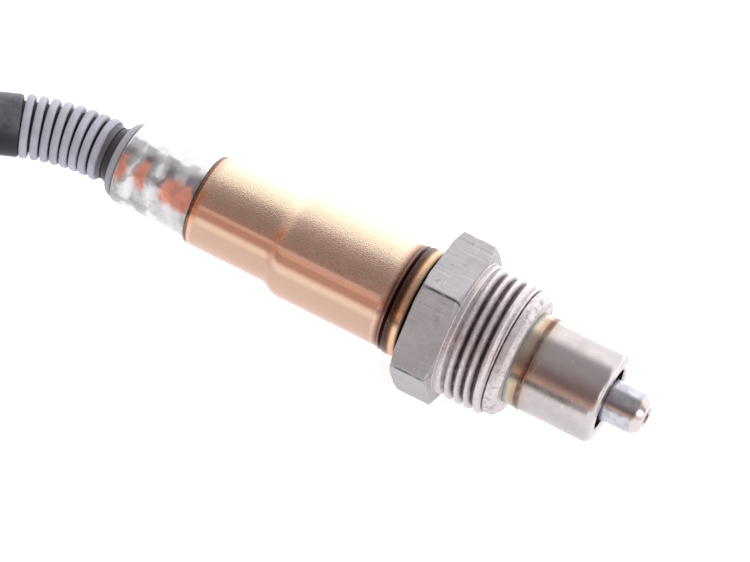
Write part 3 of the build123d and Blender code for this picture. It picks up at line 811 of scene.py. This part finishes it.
class SENSOR_OT_cable(bpy.types.Operator):
    """Makes the cable: from the hose down to the coil, round it, and on to the connector"""

    bl_idname = "sensor.cable"
    bl_label = "Cable"

    def execute(self, context):
        sizes = context.scene.sensor_sizes
        route = [Vector(point) for point in SHEATH_ROUTE]
        step = 360.0 / COIL_STEPS
        # The spline runs inside its points, so they stand a little outside the coil
        reach = COIL_RADIUS / (0.75 + 0.25 * cos(radians(step)))
        turns = round((COIL_TURNS_END - COIL_ENTER) / step)
        for number in range(turns + 2):
            angle = radians(COIL_ENTER + step * (number - 0.5))
            climbed = COIL_CLIMB.get(number, 0.0 if number < min(COIL_CLIMB) else 1.0)
            height = COIL_LOW + sizes.cable_diameter * climbed
            route.append(COIL_MIDDLE + Vector((reach * cos(angle), reach * sin(angle), height)))
        route += [Vector(point) for point in TAIL_ROUTE]
        line = bpy.data.curves.new("Cable_line", "CURVE")
        line.dimensions = "3D"
        spline = line.splines.new("NURBS")
        spline.points.add(len(route) - 1)
        for point, place in zip(spline.points, route):
            point.co = (*place, 1)
        spline.order_u = 3
        spline.use_endpoint_u = True
        spline.resolution_u = 10
        holder = in_scene("Cable_line", line)
        graph = context.evaluated_depsgraph_get()
        sampled = bpy.data.meshes.new_from_object(holder.evaluated_get(graph))
        points = [vertex.co.copy() for vertex in sampled.vertices]
        bpy.data.objects.remove(holder)
        bpy.data.meshes.remove(sampled)
        radius = sizes.cable_diameter / 2
        lip = 0.0005

        def radius_at(distance):
            """The sheath's front end is rounded."""
            if distance >= lip:
                return radius
            return radius - lip + sqrt(lip**2 - (lip - distance) ** 2)

        front = points[0]
        onward = (points[1] - points[0]).normalized()
        lip_points = [front + onward * lip * share for share in (0, 0.08, 0.2, 0.4, 0.7, 1.0)]
        rest = [point for point in points if (point - front).length > lip * 1.3]
        mesh = tube_along("cable", lip_points + rest, radius_at, 40)
        nodes = ["cable_sheath", "cable_coil", "cable_tail"]
        cable = make_piece("cable", mesh, [sheath_rubber()], nodes)
        others = ["coil_ties", "connector_housing", "connector_boot"]
        others += ["connector_lock", "connector_terminals"]
        return {"FINISHED"}


class SENSOR_OT_connector(bpy.types.Operator):
    """Makes the connector, its boot, lock and terminals, and the cable ties"""

    bl_idname = "sensor.connector"
    bl_label = "Connector and ties"

    def execute(self, context):
        colours = context.scene.sensor_finish
        plastic = moulded("Connector_plastic", colours.connector, 0.45)
        softened_copy("connector_shell", "connector_housing", plastic, 0.0003)
        rubber = moulded("Boot_rubber", colours.grommet, 0.5)
        softened_copy("connector_sleeve", "connector_boot", rubber, 0.0004)
        grey = moulded("Lock_plastic", colours.lock, 0.4)
        softened_copy("connector_slide", "connector_lock", grey, 0.0002)
        nylon = moulded("Tie_nylon", colours.connector, 0.35)
        softened_copy("cable_ties", "coil_ties", nylon, 0.0002)
        dress("connector_terminals", contact_metal())
        return {"FINISHED"}


def contact_metal():
    """Plated contact metal with faint drawing lines."""
    tone = bpy.context.scene.sensor_finish.contact
    metal = Surface("Contact_metal", 1.0, 0.25)
    lines = metal.noise(900, 3, 0.5, metal.mapped((0.2, 3, 3)))
    metal.paint(metal.blend(metal.between(lines, 0.3, 0.7), shade(tone, 0.8), tone))
    metal.rough(metal.between(lines, 0.3, 0.7, 0.2, 0.35))
    metal.relief((lines, 0.2, 0.00002))
    return metal.material


def threaded(station, radius, angle):
    """Cuts the right-hand thread and the hexagon into the outside of the housing's outline."""
    sizes = bpy.context.scene.sensor_sizes
    around = Vector((station * 1.7, cos(angle) * 9, sin(angle) * 9))
    if THREAD_REAR < station <= THREAD_END and radius > RELIEF_RADIUS:
        turn = (station - sizes.thread_start / MM) * MM / sizes.thread_pitch - angle / (2 * pi)
        from_crest = abs((turn % 1.0) - 0.5)
        cut = min(max((from_crest - HALF_CREST) / FLANK, 0.0), 1.0)
        # The thread runs out at both ends, and its crests are a little battered
        fade_in = min((station - THREAD_REAR + 0.7) / 1.6, 1.0)
        fade_out = min(max((THREAD_END - station) / 1.1, 0.5), 1.0)
        depth = sizes.thread_depth / MM * cut**1.15 * fade_in * fade_out
        battered = 0.09 * max(0.0, noise.noise(around * 1.6)) * (1 - cut)
        radius = min(radius, THREAD_RADIUS - depth - battered)
    elif HEX_REAR <= station <= SEAT and radius > HEX_FLAT:
        off_flat = abs((angle + pi / 2) % (pi / 3) - pi / 6)
        flat = HEX_FLAT / cos(pi / 6 - off_flat)
        depth = min(station - HEX_REAR, SEAT - station)
        cone = 11.6 + depth / tan(radians(22.5))
        nick = 0.16 * max(0.0, noise.noise(around * 0.8) - 0.1)
        radius = min(flat, HEX_CORNER - nick, cone)
    return station, radius


class SENSOR_OT_housing(bpy.types.Operator):
    """Makes the housing: hexagon, thread, relief groove and pilot"""

    bl_idname = "sensor.housing"
    bl_label = "Threaded housing"

    def execute(self, context):
        fine = (0.06, 0.12, 0.18, 0.24, 0.3, 0.36, 0.42, 0.5)
        outline = [(NECK_REAR, NECK_RADIUS), (HEX_REAR, NECK_RADIUS)]
        outline += [(HEX_REAR + step, HEX_BLANK) for step in (0, *fine)]
        outline += [(station, HEX_BLANK) for station in stretch(HEX_REAR + 0.8, SEAT - 0.8, 0.35)]
        outline += [(SEAT - step, HEX_BLANK) for step in (*reversed(fine), 0)]
        outline += [(SEAT, THREAD_RADIUS + 0.08), (SEAT + 0.08, THREAD_RADIUS)]
        outline += [(THREAD_REAR - 0.2, THREAD_RADIUS), (THREAD_REAR - 0.1, 9.9)]
        outline += [(THREAD_REAR, 9.88), (THREAD_REAR + 0.06, 9.95)]
        for station in stretch(THREAD_REAR + 0.12, THREAD_END, 0.0625):
            outline.append((station, min(THREAD_RADIUS, 9.5 + THREAD_END - station)))
        outline += [(THREAD_END + 0.04, 9.3), (THREAD_END + 0.1, RELIEF_RADIUS)]
        outline += [(RELIEF_FRONT, RELIEF_RADIUS), (RELIEF_FRONT, 9.34)]
        outline += [(RELIEF_FRONT + 0.08, PILOT_RADIUS)]
        outline += [(PILOT_FRONT - 0.83, PILOT_RADIUS), (PILOT_FRONT - 0.68, 9.33), (PILOT_FRONT, 8.65)]
        outline += [(PILOT_FRONT, SPIGOT_RADIUS), (SPIGOT_FRONT, SPIGOT_RADIUS)]
        # The bore, from the front to the rear
        outline += [(SPIGOT_FRONT, 4.2), (-1.0, 4.2), (-1.0, 5.6), (-14.3, 5.6), (-14.3, 4.9)]
        outline += [(NECK_REAR, 4.9)]
        mesh = turned("threaded_housing", outline, 300, threaded)
        finishes = [hexagon_steel(), thread_steel(), pilot_steel()]
        made = make_piece("threaded_housing", mesh, finishes, ["housing"], 32)
        for face in made.data.polygons:
            station = face.center.x / MM
            face.material_index = (station >= SEAT + 0.02) + (station >= RELIEF_FRONT - 0.05)
        return {"FINISHED"}


def gas_holed(mesh, count=6, radius=0.6, sides=24):
    """The inner tube's mesh with a ring of gas holes, cut by short rods through its wall."""
    rods = bmesh.new()
    middle_of_wall = Vector((GAS_HOLES, 0, (INNER_BORE + INNER_RADIUS) / 2)) * MM
    # Each rod is turned by half a side, so that none of its edges meets the tube's own
    rod = Matrix.Translation(middle_of_wall) @ Matrix.Rotation(pi / sides, 4, "Z")
    for number in range(count):
        bmesh.ops.create_cone(
            rods,
            cap_ends=True,
            segments=sides,
            radius1=radius * MM,
            radius2=radius * MM,
            depth=1.2 * MM,
            matrix=Matrix.Rotation(pi / 2 + 2 * pi * number / count, 4, "X") @ rod,
        )
    cutter = in_scene("Gas_hole_rods", mesh_from("Gas_hole_rods", rods))
    holder = in_scene("Plain_tube", mesh)
    cut = holder.modifiers.new("Gas holes", "BOOLEAN")
    cut.operation = "DIFFERENCE"
    cut.solver = "EXACT"
    cut.object = cutter
    holed = evaluated(holder)
    bpy.data.objects.remove(cutter)
    holed.name = "inner_tube"
    return holed


class SENSOR_OT_tubes(bpy.types.Operator):
    """Makes the outer and inner protection tubes at the tip"""

    bl_idname = "sensor.tubes"
    bl_label = "Protection tubes"

    def execute(self, context):
        # A rounded rim in front, and a weld bead round the base
        rim = TUBE_FRONT - RIM_ROUND
        rim_radius = TUBE_RADIUS - RIM_ROUND
        bead = stretch(-pi / 2, pi / 2, pi / 8)
        outline = [(TUBE_REAR, TUBE_BORE), (TUBE_REAR, TUBE_RADIUS), (6.9, TUBE_RADIUS)]
        outline += [(7.55 + 0.35 * sin(angle), TUBE_RADIUS + 0.09 * cos(angle)) for angle in bead]
        outline += [(8.2, TUBE_RADIUS), (rim, TUBE_RADIUS)]
        for angle in stretch(pi / 16, pi / 2, pi / 16):
            outline.append((rim + RIM_ROUND * sin(angle), rim_radius + RIM_ROUND * cos(angle)))
        outline += [(TUBE_FRONT, 4.75), (TUBE_FRONT - 0.08, 4.68), (TUBE_FRONT - 0.45, 4.68)]
        outline += [(TUBE_FRONT - 0.5, 4.75), (TUBE_FRONT - 0.5, rim_radius)]
        outline += [(TUBE_FRONT - 0.68, 6.27), (rim, TUBE_BORE)]
        mesh = turned("outer_tube", outline, 160)
        make_piece("outer_tube", mesh, [tube_steel()], ["outer_protection_tube"], 50)

        outline = [(8.25, INNER_BORE), (8.25, 6.2), (8.65, 6.2), (8.65, INNER_RADIUS)]
        outline += [(GAS_HOLES - 1, INNER_RADIUS), (GAS_HOLES + 1, INNER_RADIUS)]
        outline += [(TIP - 1.5, INNER_RADIUS), (TIP - 1.3, 3.13), (TIP - 1.1, 3.03)]
        outline += [(TIP - 0.25, 2.44), (TIP - 0.06, 2.28), (TIP, 2.1), (TIP, 1.5), (TIP - 0.05, 1.45)]
        outline += [(TIP - 0.4, 1.45), (TIP - 0.4, 1.9), (TIP - 1.25, INNER_BORE)]
        outline += [(GAS_HOLES + 1, INNER_BORE), (GAS_HOLES - 1, INNER_BORE)]
        mesh = gas_holed(turned("plain_tube", outline, 96))
        finish = inner_tube_steel()
        make_piece("inner_tube", mesh, [finish], ["inner_protection_tube"], 50)
        return {"FINISHED"}


class SENSOR_OT_sleeve(bpy.types.Operator):
    """Makes the tinted sleeve with its welded ring and step"""

    bl_idname = "sensor.sleeve"
    bl_label = "Protective sleeve"

    def execute(self, context):
        outer = SLEEVE_RADIUS
        small = SMALL_RADIUS
        outline = [(SLEEVE_FRONT, 7.25), (SLEEVE_FRONT, RING_RADIUS - 0.1)]
        outline += [(SLEEVE_FRONT - 0.1, RING_RADIUS), (RING_REAR + 0.15, RING_RADIUS)]
        outline += [(RING_REAR, 8.18), (RING_REAR - 0.12, 7.85), (RING_REAR - 0.28, 7.75)]
        outline += [(RING_REAR - 0.42, 7.95), (RING_REAR - 0.55, 8.12), (RING_REAR - 0.75, 8.08)]
        outline += [(RING_REAR - 1.0, outer)]
        outline += [(station, outer) for station in stretch(RING_REAR - 1.5, SLEEVE_STEP + 1.1, 0.8)]
        outline += [(SLEEVE_STEP + 0.6, outer - 0.01), (SLEEVE_STEP + 0.1, outer - 0.09)]
        outline += [(SLEEVE_STEP - 0.4, outer - 0.27), (SLEEVE_STEP - 0.9, 7.39)]
        outline += [(SLEEVE_SMALL + 0.4, small + 0.27), (SLEEVE_SMALL - 0.1, small + 0.09)]
        outline += [(SLEEVE_SMALL - 0.6, small)]
        outline += [(station, small) for station in stretch(SLEEVE_SMALL - 1.4, SLEEVE_REAR + 0.6, 0.8)]
        outline += [(SLEEVE_REAR + 0.28, small - 0.03), (SLEEVE_REAR + 0.1, small - 0.13)]
        outline += [(SLEEVE_REAR, small - 0.32), (SLEEVE_REAR, small - SLEEVE_WALL)]
        outline += [(SLEEVE_SMALL, small - SLEEVE_WALL), (SLEEVE_STEP, outer - SLEEVE_WALL)]
        outline += [(RING_REAR - 1.0, outer - SLEEVE_WALL), (RING_REAR - 1.0, 7.25)]
        mesh = turned("tinted_sleeve", outline, 192)
        make_piece("tinted_sleeve", mesh, [sleeve_steel()], ["protective_sleeve"], 45)
        return {"FINISHED"}


def crimped(station, radius, angle):
    """Presses the crimps into the shell: rings with flats, and shallower dents between them."""
    sizes = bpy.context.scene.sensor_sizes
    side = 2 * pi / sizes.crimp_sides
    off_flat = abs((angle + 0.2) % side - side / 2)
    for number, middle in enumerate(CRIMPS):
        away = abs(station - middle) / 1.35
        if away < 1:
            press = (0.5 + 0.5 * cos(pi * away)) ** 1.1
            flat = SHELL_RADIUS - sizes.crimp_depth / MM
            flat = flat / max(cos(side / 2 - off_flat), 0.8) - SHELL_RADIUS
            radius += press * min(0.0, flat + 0.05 * number)
    return station, radius


class SENSOR_OT_shell(bpy.types.Operator):
    """Makes the crimp shell behind the sleeve, and the rubber grommet in it"""

    bl_idname = "sensor.shell"
    bl_label = "Crimp shell and grommet"

    def execute(self, context):
        outline = [(SHELL_FRONT, SHELL_BORE), (SHELL_FRONT, 6.3), (SLEEVE_REAR - 0.2, 6.3)]
        outline += [(SLEEVE_REAR - 0.6, 6.27), (SLEEVE_REAR - 1.0, 6.19)]
        crimped_length = stretch(SLEEVE_REAR - 1.3, SHELL_REAR + 0.35, 0.12)
        outline += [(station, SHELL_RADIUS) for station in crimped_length]
        outline += [(SHELL_REAR + 0.2, 6.12), (SHELL_REAR + 0.06, 6.02)]
        outline += [(SHELL_REAR, 5.88), (SHELL_REAR, SHELL_BORE)]
        inside = stretch(SHELL_REAR + 0.4, SLEEVE_REAR - 1.1, 0.24)
        outline += [(station, SHELL_BORE) for station in inside]
        mesh = turned("crimped_shell", outline, 192, crimped)
        make_piece("crimped_shell", mesh, [shell_steel()], ["crimp_shell"], 50)

        outline = [(-50.0, 0), (-50.0, 5.2), (-57.9, 5.5), (LIP_FRONT - 0.13, 5.5)]
        outline += [(LIP_FRONT - 0.2, 5.7), (LIP_REAR, 5.74), (LIP_REAR - 0.35, 5.68)]
        outline += [(LIP_REAR - 0.7, 5.5), (LIP_REAR - 0.95, 5.22), (LIP_REAR - 1.15, 4.85)]
        outline += [(LIP_REAR - 1.5, 4.45), (LIP_REAR - 2.0, 4.15), (CONE_REAR, 3.9)]
        outline += [(CONE_REAR, 3.5), (-57.5, 3.5), (-57.5, 0)]
        mesh = turned("rubber_grommet", outline, 128)
        make_piece("rubber_grommet", mesh, [grommet_rubber()], ["cable_grommet"], 60)
        return {"FINISHED"}


def rib_tree(finish):
    """Nodes that set ribs along a line of points: one rounded ring on each."""
    tree = bpy.data.node_groups.new("Hose ribs", "GeometryNodeTree")
    face = tree.interface
    face.new_socket("Geometry", in_out="INPUT", socket_type="NodeSocketGeometry")
    for name in ("Rib diameter", "Rib width", "Rib round"):
        face.new_socket(name, in_out="INPUT", socket_type="NodeSocketFloat")
    face.new_socket("Rib count", in_out="INPUT", socket_type="NodeSocketInt")
    face.new_socket("Geometry", in_out="OUTPUT", socket_type="NodeSocketGeometry")

    nodes = Nodes(tree)
    given = nodes.add("NodeGroupInput").outputs
    line = nodes.add("GeometryNodeMeshToCurve", {"Mesh": given["Geometry"]}).outputs[0]
    inputs = {"Curve": line, "Count": given["Rib count"]}
    spaced = nodes.add("GeometryNodeResampleCurve", inputs, mode="COUNT").outputs[0]
    # A rib's section is a rounded square, whose middle runs half its width inside the rib's outside
    outside = nodes.times(given["Rib diameter"], 0.5)
    inset = nodes.times(given["Rib width"], 0.5)
    inputs = {"Resolution": 72, "Radius": nodes.calc("SUBTRACT", outside, inset)}
    circle = nodes.add("GeometryNodeCurvePrimitiveCircle", inputs, mode="RADIUS").outputs[0]
    inputs = {"Width": given["Rib width"], "Height": given["Rib width"]}
    square = nodes.add("GeometryNodeCurvePrimitiveQuadrilateral", inputs, mode="RECTANGLE").outputs[0]
    inputs = {"Count": 5, "Curve": square, "Radius": given["Rib round"]}
    section = nodes.add("GeometryNodeFilletCurve", inputs, mode="POLY").outputs[0]
    ring = nodes.add("GeometryNodeCurveToMesh", {"Curve": circle, "Profile Curve": section}).outputs[0]
    tangent = nodes.add("GeometryNodeInputTangent").outputs[0]
    turn = nodes.add("FunctionNodeAlignRotationToVector", {"Vector": tangent}, axis="Z").outputs[0]
    inputs = {"Points": spaced, "Instance": ring, "Rotation": turn}
    placed = nodes.add("GeometryNodeInstanceOnPoints", inputs).outputs[0]
    real = nodes.add("GeometryNodeRealizeInstances", {0: placed}).outputs[0]
    dressed = nodes.add("GeometryNodeSetMaterial", {"Geometry": real, "Material": finish}).outputs[0]
    nodes.add("NodeGroupOutput", {0: dressed})
    return tree


class SENSOR_OT_hose(bpy.types.Operator):
    """Makes the bellows hose with its ribs"""

    bl_idname = "sensor.hose"
    bl_label = "Bellows hose"

    def execute(self, context):
        sizes = context.scene.sensor_sizes
        finish = moulded("Hose_plastic", context.scene.sensor_finish.hose, 0.5, contrast=0.12)
        # Painted shade: a near-black core stands for the deep shade between the ribs
        dark = moulded("Hose_valley_shade", (0.012, 0.011, 0.013), 0.6)
        # The line that the ribs stand on, from the first rib's middle to the last one's
        first = 0.00085
        steps = 24
        ribbed = sizes.rib_pitch * (sizes.rib_count - 1)
        turn_radius = HOSE_TURN_RADIUS * MM
        angles = [(first + ribbed * place / steps) / turn_radius for place in range(steps + 1)]
        points = [hose_point(angle) for angle in angles]
        line = bpy.data.meshes.new("Rib_line")
        line.from_pydata(points, [(place, place + 1) for place in range(steps)], [])
        holder = in_scene("Rib_line", line)
        tree = rib_tree(finish)
        ribs = holder.modifiers.new("Hose ribs", "NODES")
        ribs.node_group = tree
        values = {
            "Rib diameter": sizes.rib_diameter,
            "Rib width": sizes.rib_width,
            "Rib round": sizes.rib_round,
            "Rib count": sizes.rib_count,
        }
        for item in tree.interface.items_tree:
            if item.name in values and item.in_out == "INPUT":
                ribs[item.identifier] = values[item.name]
        ribs_mesh = evaluated(holder)
        bm = bmesh.new()
        bm.from_mesh(ribs_mesh)
        bmesh.ops.remove_doubles(bm, verts=bm.verts, dist=1e-7)
        bmesh.ops.recalc_face_normals(bm, faces=bm.faces)
        bm.to_mesh(ribs_mesh)
        bm.free()
        ribs_mesh.materials.clear()
        make_piece("hose_ribs", ribs_mesh, [finish], ["formed_hose"], 60)

        points = [Vector((station, 0, 0)) * MM for station in (-57.55, -60.0, CONE_REAR)]
        points += [hose_point(HOSE_TURN * place / 20) for place in range(21)]

        def radius_at(distance):
            """The core is thinner where it lies in the grommet."""
            return 0.00345 if distance < 0.0038 else 0.00365

        core = tube_along("hose_core", points, radius_at, 64)
        make_piece("hose_core", core, [dark], ["formed_hose"], 60)

        front = HOSE_TURN_START - first / MM
        outline = [(front, 3.6), (front, 4.66), (front + 0.35, 4.62), (front + 0.55, 4.45)]
        outline += [(front + 0.7, 4.22), (front + 0.95, 4.12)]
        outline += [(CONE_REAR - 0.02, 4.05), (CONE_REAR - 0.02, 3.6)]
        cuff = turned("hose_cuff", outline, 128)
        # Painted shade: behind the first rib the cuff is the hose's grey plastic painted darker, as
        # though in shade
        neck_shade_tone = shade(context.scene.sensor_finish.hose, 0.28)
        neck = moulded("Hose_neck_shade", neck_shade_tone, 0.5, contrast=0.12)
        made = make_piece("hose_cuff", cuff, [finish, neck], ["formed_hose"], 50)
        for face in made.data.polygons:
            face.material_index = 1 if face.center.x / MM > front + 0.5 else 0
        return {"FINISHED"}


class SENSOR_OT_inside(bpy.types.Operator):
    """Finishes what is sealed inside: element, seals, contacts, clamp and leads"""

    bl_idname = "sensor.inside"
    bl_label = "Inner pieces"

    def execute(self, context):
        colours = context.scene.sensor_finish
        ceramic = moulded("Ceramic", colours.ceramic, 0.5, contrast=0.06)
        seals = ("sensor_element", "front_ceramic_bush", "rear_ceramic_bush")
        for node in (*seals, "contact_holder_upper", "contact_holder_lower"):
            dress(node, ceramic)
        dress("talc_seal", moulded("Talc", (0.55, 0.55, 0.52), 0.8))
        dress("contact_springs", contact_metal())
        dress("lead_wires", moulded("Lead_sleeving", colours.lead, 0.5))
        for node in ("press_ring", "contact_clamp"):
            dress(node, inner_tube_steel())
        return {"FINISHED"}


# ---- Stage

# The room in reflections, from the lit side behind the sensor, over it, and down to the unlit side
ROOM_SHADES = [
    (0.0, (0.93, 0.93, 0.95)),
    (0.2, (1.0, 1.0, 1.0)),
    (0.3, (1.0, 1.0, 0.99)),
    (0.34, (0.72, 0.72, 0.71)),
    (0.375, (0.36, 0.35, 0.35)),
    (0.45, (0.31, 0.30, 0.30)),
    (0.6, (0.30, 0.285, 0.285)),
    (0.72, (0.23, 0.195, 0.195)),
    (0.8, (0.17, 0.12, 0.115)),
    (0.87, (0.17, 0.11, 0.10)),
    (0.895, (0.36, 0.22, 0.17)),
    (0.93, (0.48, 0.32, 0.25)),
    (0.985, (0.58, 0.42, 0.34)),
    (1.0, (0.82, 0.76, 0.70)),
]


# The photographed view: the camera's place in metres, and its directions to the right and up
CAMERA_PLACE = Vector((0.10618, -0.39289, 0.42871))
CAMERA_RIGHT = Vector((0.8760, 0.4544, 0.1615))
CAMERA_UP = Vector((-0.4341, 0.5973, 0.6744))
CAMERA_LENS = 201.6


class SENSOR_OT_stage(bpy.types.Operator):
    """Makes the floor, the light and the camera"""

    bl_idname = "sensor.stage"
    bl_label = "Floor, light and camera"

    def execute(self, context):
        stage = context.scene.sensor_stage
        self.floor(context, stage)
        self.room(context, stage)
        self.lamps(context, stage)
        self.camera(context)
        return {"FINISHED"}

    def floor(self, context, stage):
        """A white floor that keeps the sensor's soft shadow."""
        mesh = bpy.data.meshes.new("floor")
        half = 2.0
        corners = ((-half, -half), (half, -half), (half, half), (-half, half))
        mesh.from_pydata([(x, y, FLOOR_LEVEL * MM) for x, y in corners], [], [(0, 1, 2, 3)])
        floor = in_scene("floor", mesh)
        paper = Surface("Floor_paper", 0.0, 0.9)
        paper.paint((0.74, 0.74, 0.74))
        path = paper.add("ShaderNodeLightPath").outputs
        # Its glow lights the sensor a little less than it shows
        seen = paper.calc("MAXIMUM", path["Is Camera Ray"], path["Is Glossy Ray"])
        seen = paper.calc("MAXIMUM", seen, 0.8)
        behind = paper.between(paper.y, 0.0, 0.12, 1.0, 2.4)
        paper.feed(paper.shader.inputs["Emission Color"], (0.97, 0.975, 1.0))
        glow = paper.times(seen, stage.floor_glow)
        paper.feed(paper.shader.inputs["Emission Strength"], paper.times(glow, behind))
        mesh.materials.append(paper.material)

    def room(self, context, stage):
        """A white room whose unlit side, behind the camera, is dark in reflections."""
        world = bpy.data.worlds.new("Room")
        context.scene.world = world
        world.use_nodes = True
        nodes = Nodes(world.node_tree)
        place = nodes.add("ShaderNodeTexCoord").outputs["Generated"]
        parts = nodes.add("ShaderNodeSeparateXYZ", {0: place}).outputs
        turn = nodes.calc("ARCTAN2", parts[2], parts[1])
        shades = nodes.ramp(nodes.calc("DIVIDE", turn, pi), ROOM_SHADES)
        # Reflections see the shades, the camera sees white, and everything else is lit evenly
        path = nodes.add("ShaderNodeLightPath").outputs
        shown = nodes.calc("MAXIMUM", path["Is Glossy Ray"], path["Is Transmission Ray"])
        tone = nodes.blend(shown, (stage.fill / stage.sky,) * 3, shades)
        tone = nodes.blend(path["Is Camera Ray"], tone, (1 / stage.sky,) * 3)
        back = world.node_tree.nodes["Background"]
        nodes.feed(back.inputs["Color"], tone)
        nodes.feed(back.inputs["Strength"], stage.sky)

    def lamps(self, context, stage):
        """One large soft lamp above and behind, and a weaker one on the tip's side."""
        target = Vector((-0.02, 0, 0))
        for name, place, size, power in (
            ("Key", Vector((-0.05, 0.5, 0.3)), 0.5, stage.key),
            ("Side", Vector((0.5, -0.16, 0.2)), 0.25, stage.key * 0.2),
        ):
            lamp = bpy.data.lights.new(name, "AREA")
            lamp.energy = power
            lamp.size = size
            holder = in_scene(name, lamp)
            # In reflections the room's own shades stand for the key lamp
            holder.visible_glossy = name != "Key"
            aim = (target - place).normalized().to_track_quat("-Z", "Y")
            holder.matrix_world = Matrix.Translation(place) @ aim.to_matrix().to_4x4()

    def camera(self, context):
        """The camera at the photographed angle."""
        eye = bpy.data.cameras.new("Camera")
        eye.lens = CAMERA_LENS
        eye.sensor_width = 36.0
        eye.sensor_fit = "HORIZONTAL"
        eye.clip_start = 0.01
        holder = in_scene("Camera", eye)
        back = CAMERA_RIGHT.cross(CAMERA_UP).normalized()
        up = back.cross(CAMERA_RIGHT).normalized()
        turn = Matrix((CAMERA_RIGHT.normalized(), up, back)).transposed()
        holder.matrix_world = Matrix.Translation(CAMERA_PLACE) @ turn.to_4x4()
        context.scene.camera = holder
        context.scene.view_settings.view_transform = "Standard"


class SENSOR_PT_panel(bpy.types.Panel):
    """Lists the sensor's pieces"""

    bl_idname = "SENSOR_PT_panel"
    bl_label = "Exhaust gas sensor"
    bl_space_type = "VIEW_3D"
    bl_region_type = "UI"
    bl_category = "Sensor"

    def draw(self, context):
        for kind in OPERATORS:
            self.layout.operator(kind.bl_idname)


OPERATORS = (
    SENSOR_OT_stage,
    SENSOR_OT_connector,
    SENSOR_OT_cable,
    SENSOR_OT_hose,
    SENSOR_OT_shell,
    SENSOR_OT_sleeve,
    SENSOR_OT_housing,
    SENSOR_OT_tubes,
    SENSOR_OT_inside,
)
GROUPS = (SensorSizes, SensorFinish, SensorStage)


def register():
    for kind in GROUPS + OPERATORS + (SENSOR_PT_panel,):
        bpy.utils.register_class(kind)
    bpy.types.Scene.sensor_sizes = PointerProperty(type=SensorSizes)
    bpy.types.Scene.sensor_finish = PointerProperty(type=SensorFinish)
    bpy.types.Scene.sensor_stage = PointerProperty(type=SensorStage)


def unregister():
    del bpy.types.Scene.sensor_sizes
    del bpy.types.Scene.sensor_finish
    del bpy.types.Scene.sensor_stage
    for kind in reversed(GROUPS + OPERATORS + (SENSOR_PT_panel,)):
        bpy.utils.unregister_class(kind)


def main():
    """Builds the sensor."""
    register()
    bpy.ops.sensor.stage()
    bpy.ops.sensor.connector()
    bpy.ops.sensor.cable()
    bpy.ops.sensor.hose()
    bpy.ops.sensor.shell()
    bpy.ops.sensor.sleeve()
    bpy.ops.sensor.housing()
    bpy.ops.sensor.tubes()
    bpy.ops.sensor.inside()


if __name__ == "__main__":
    main()
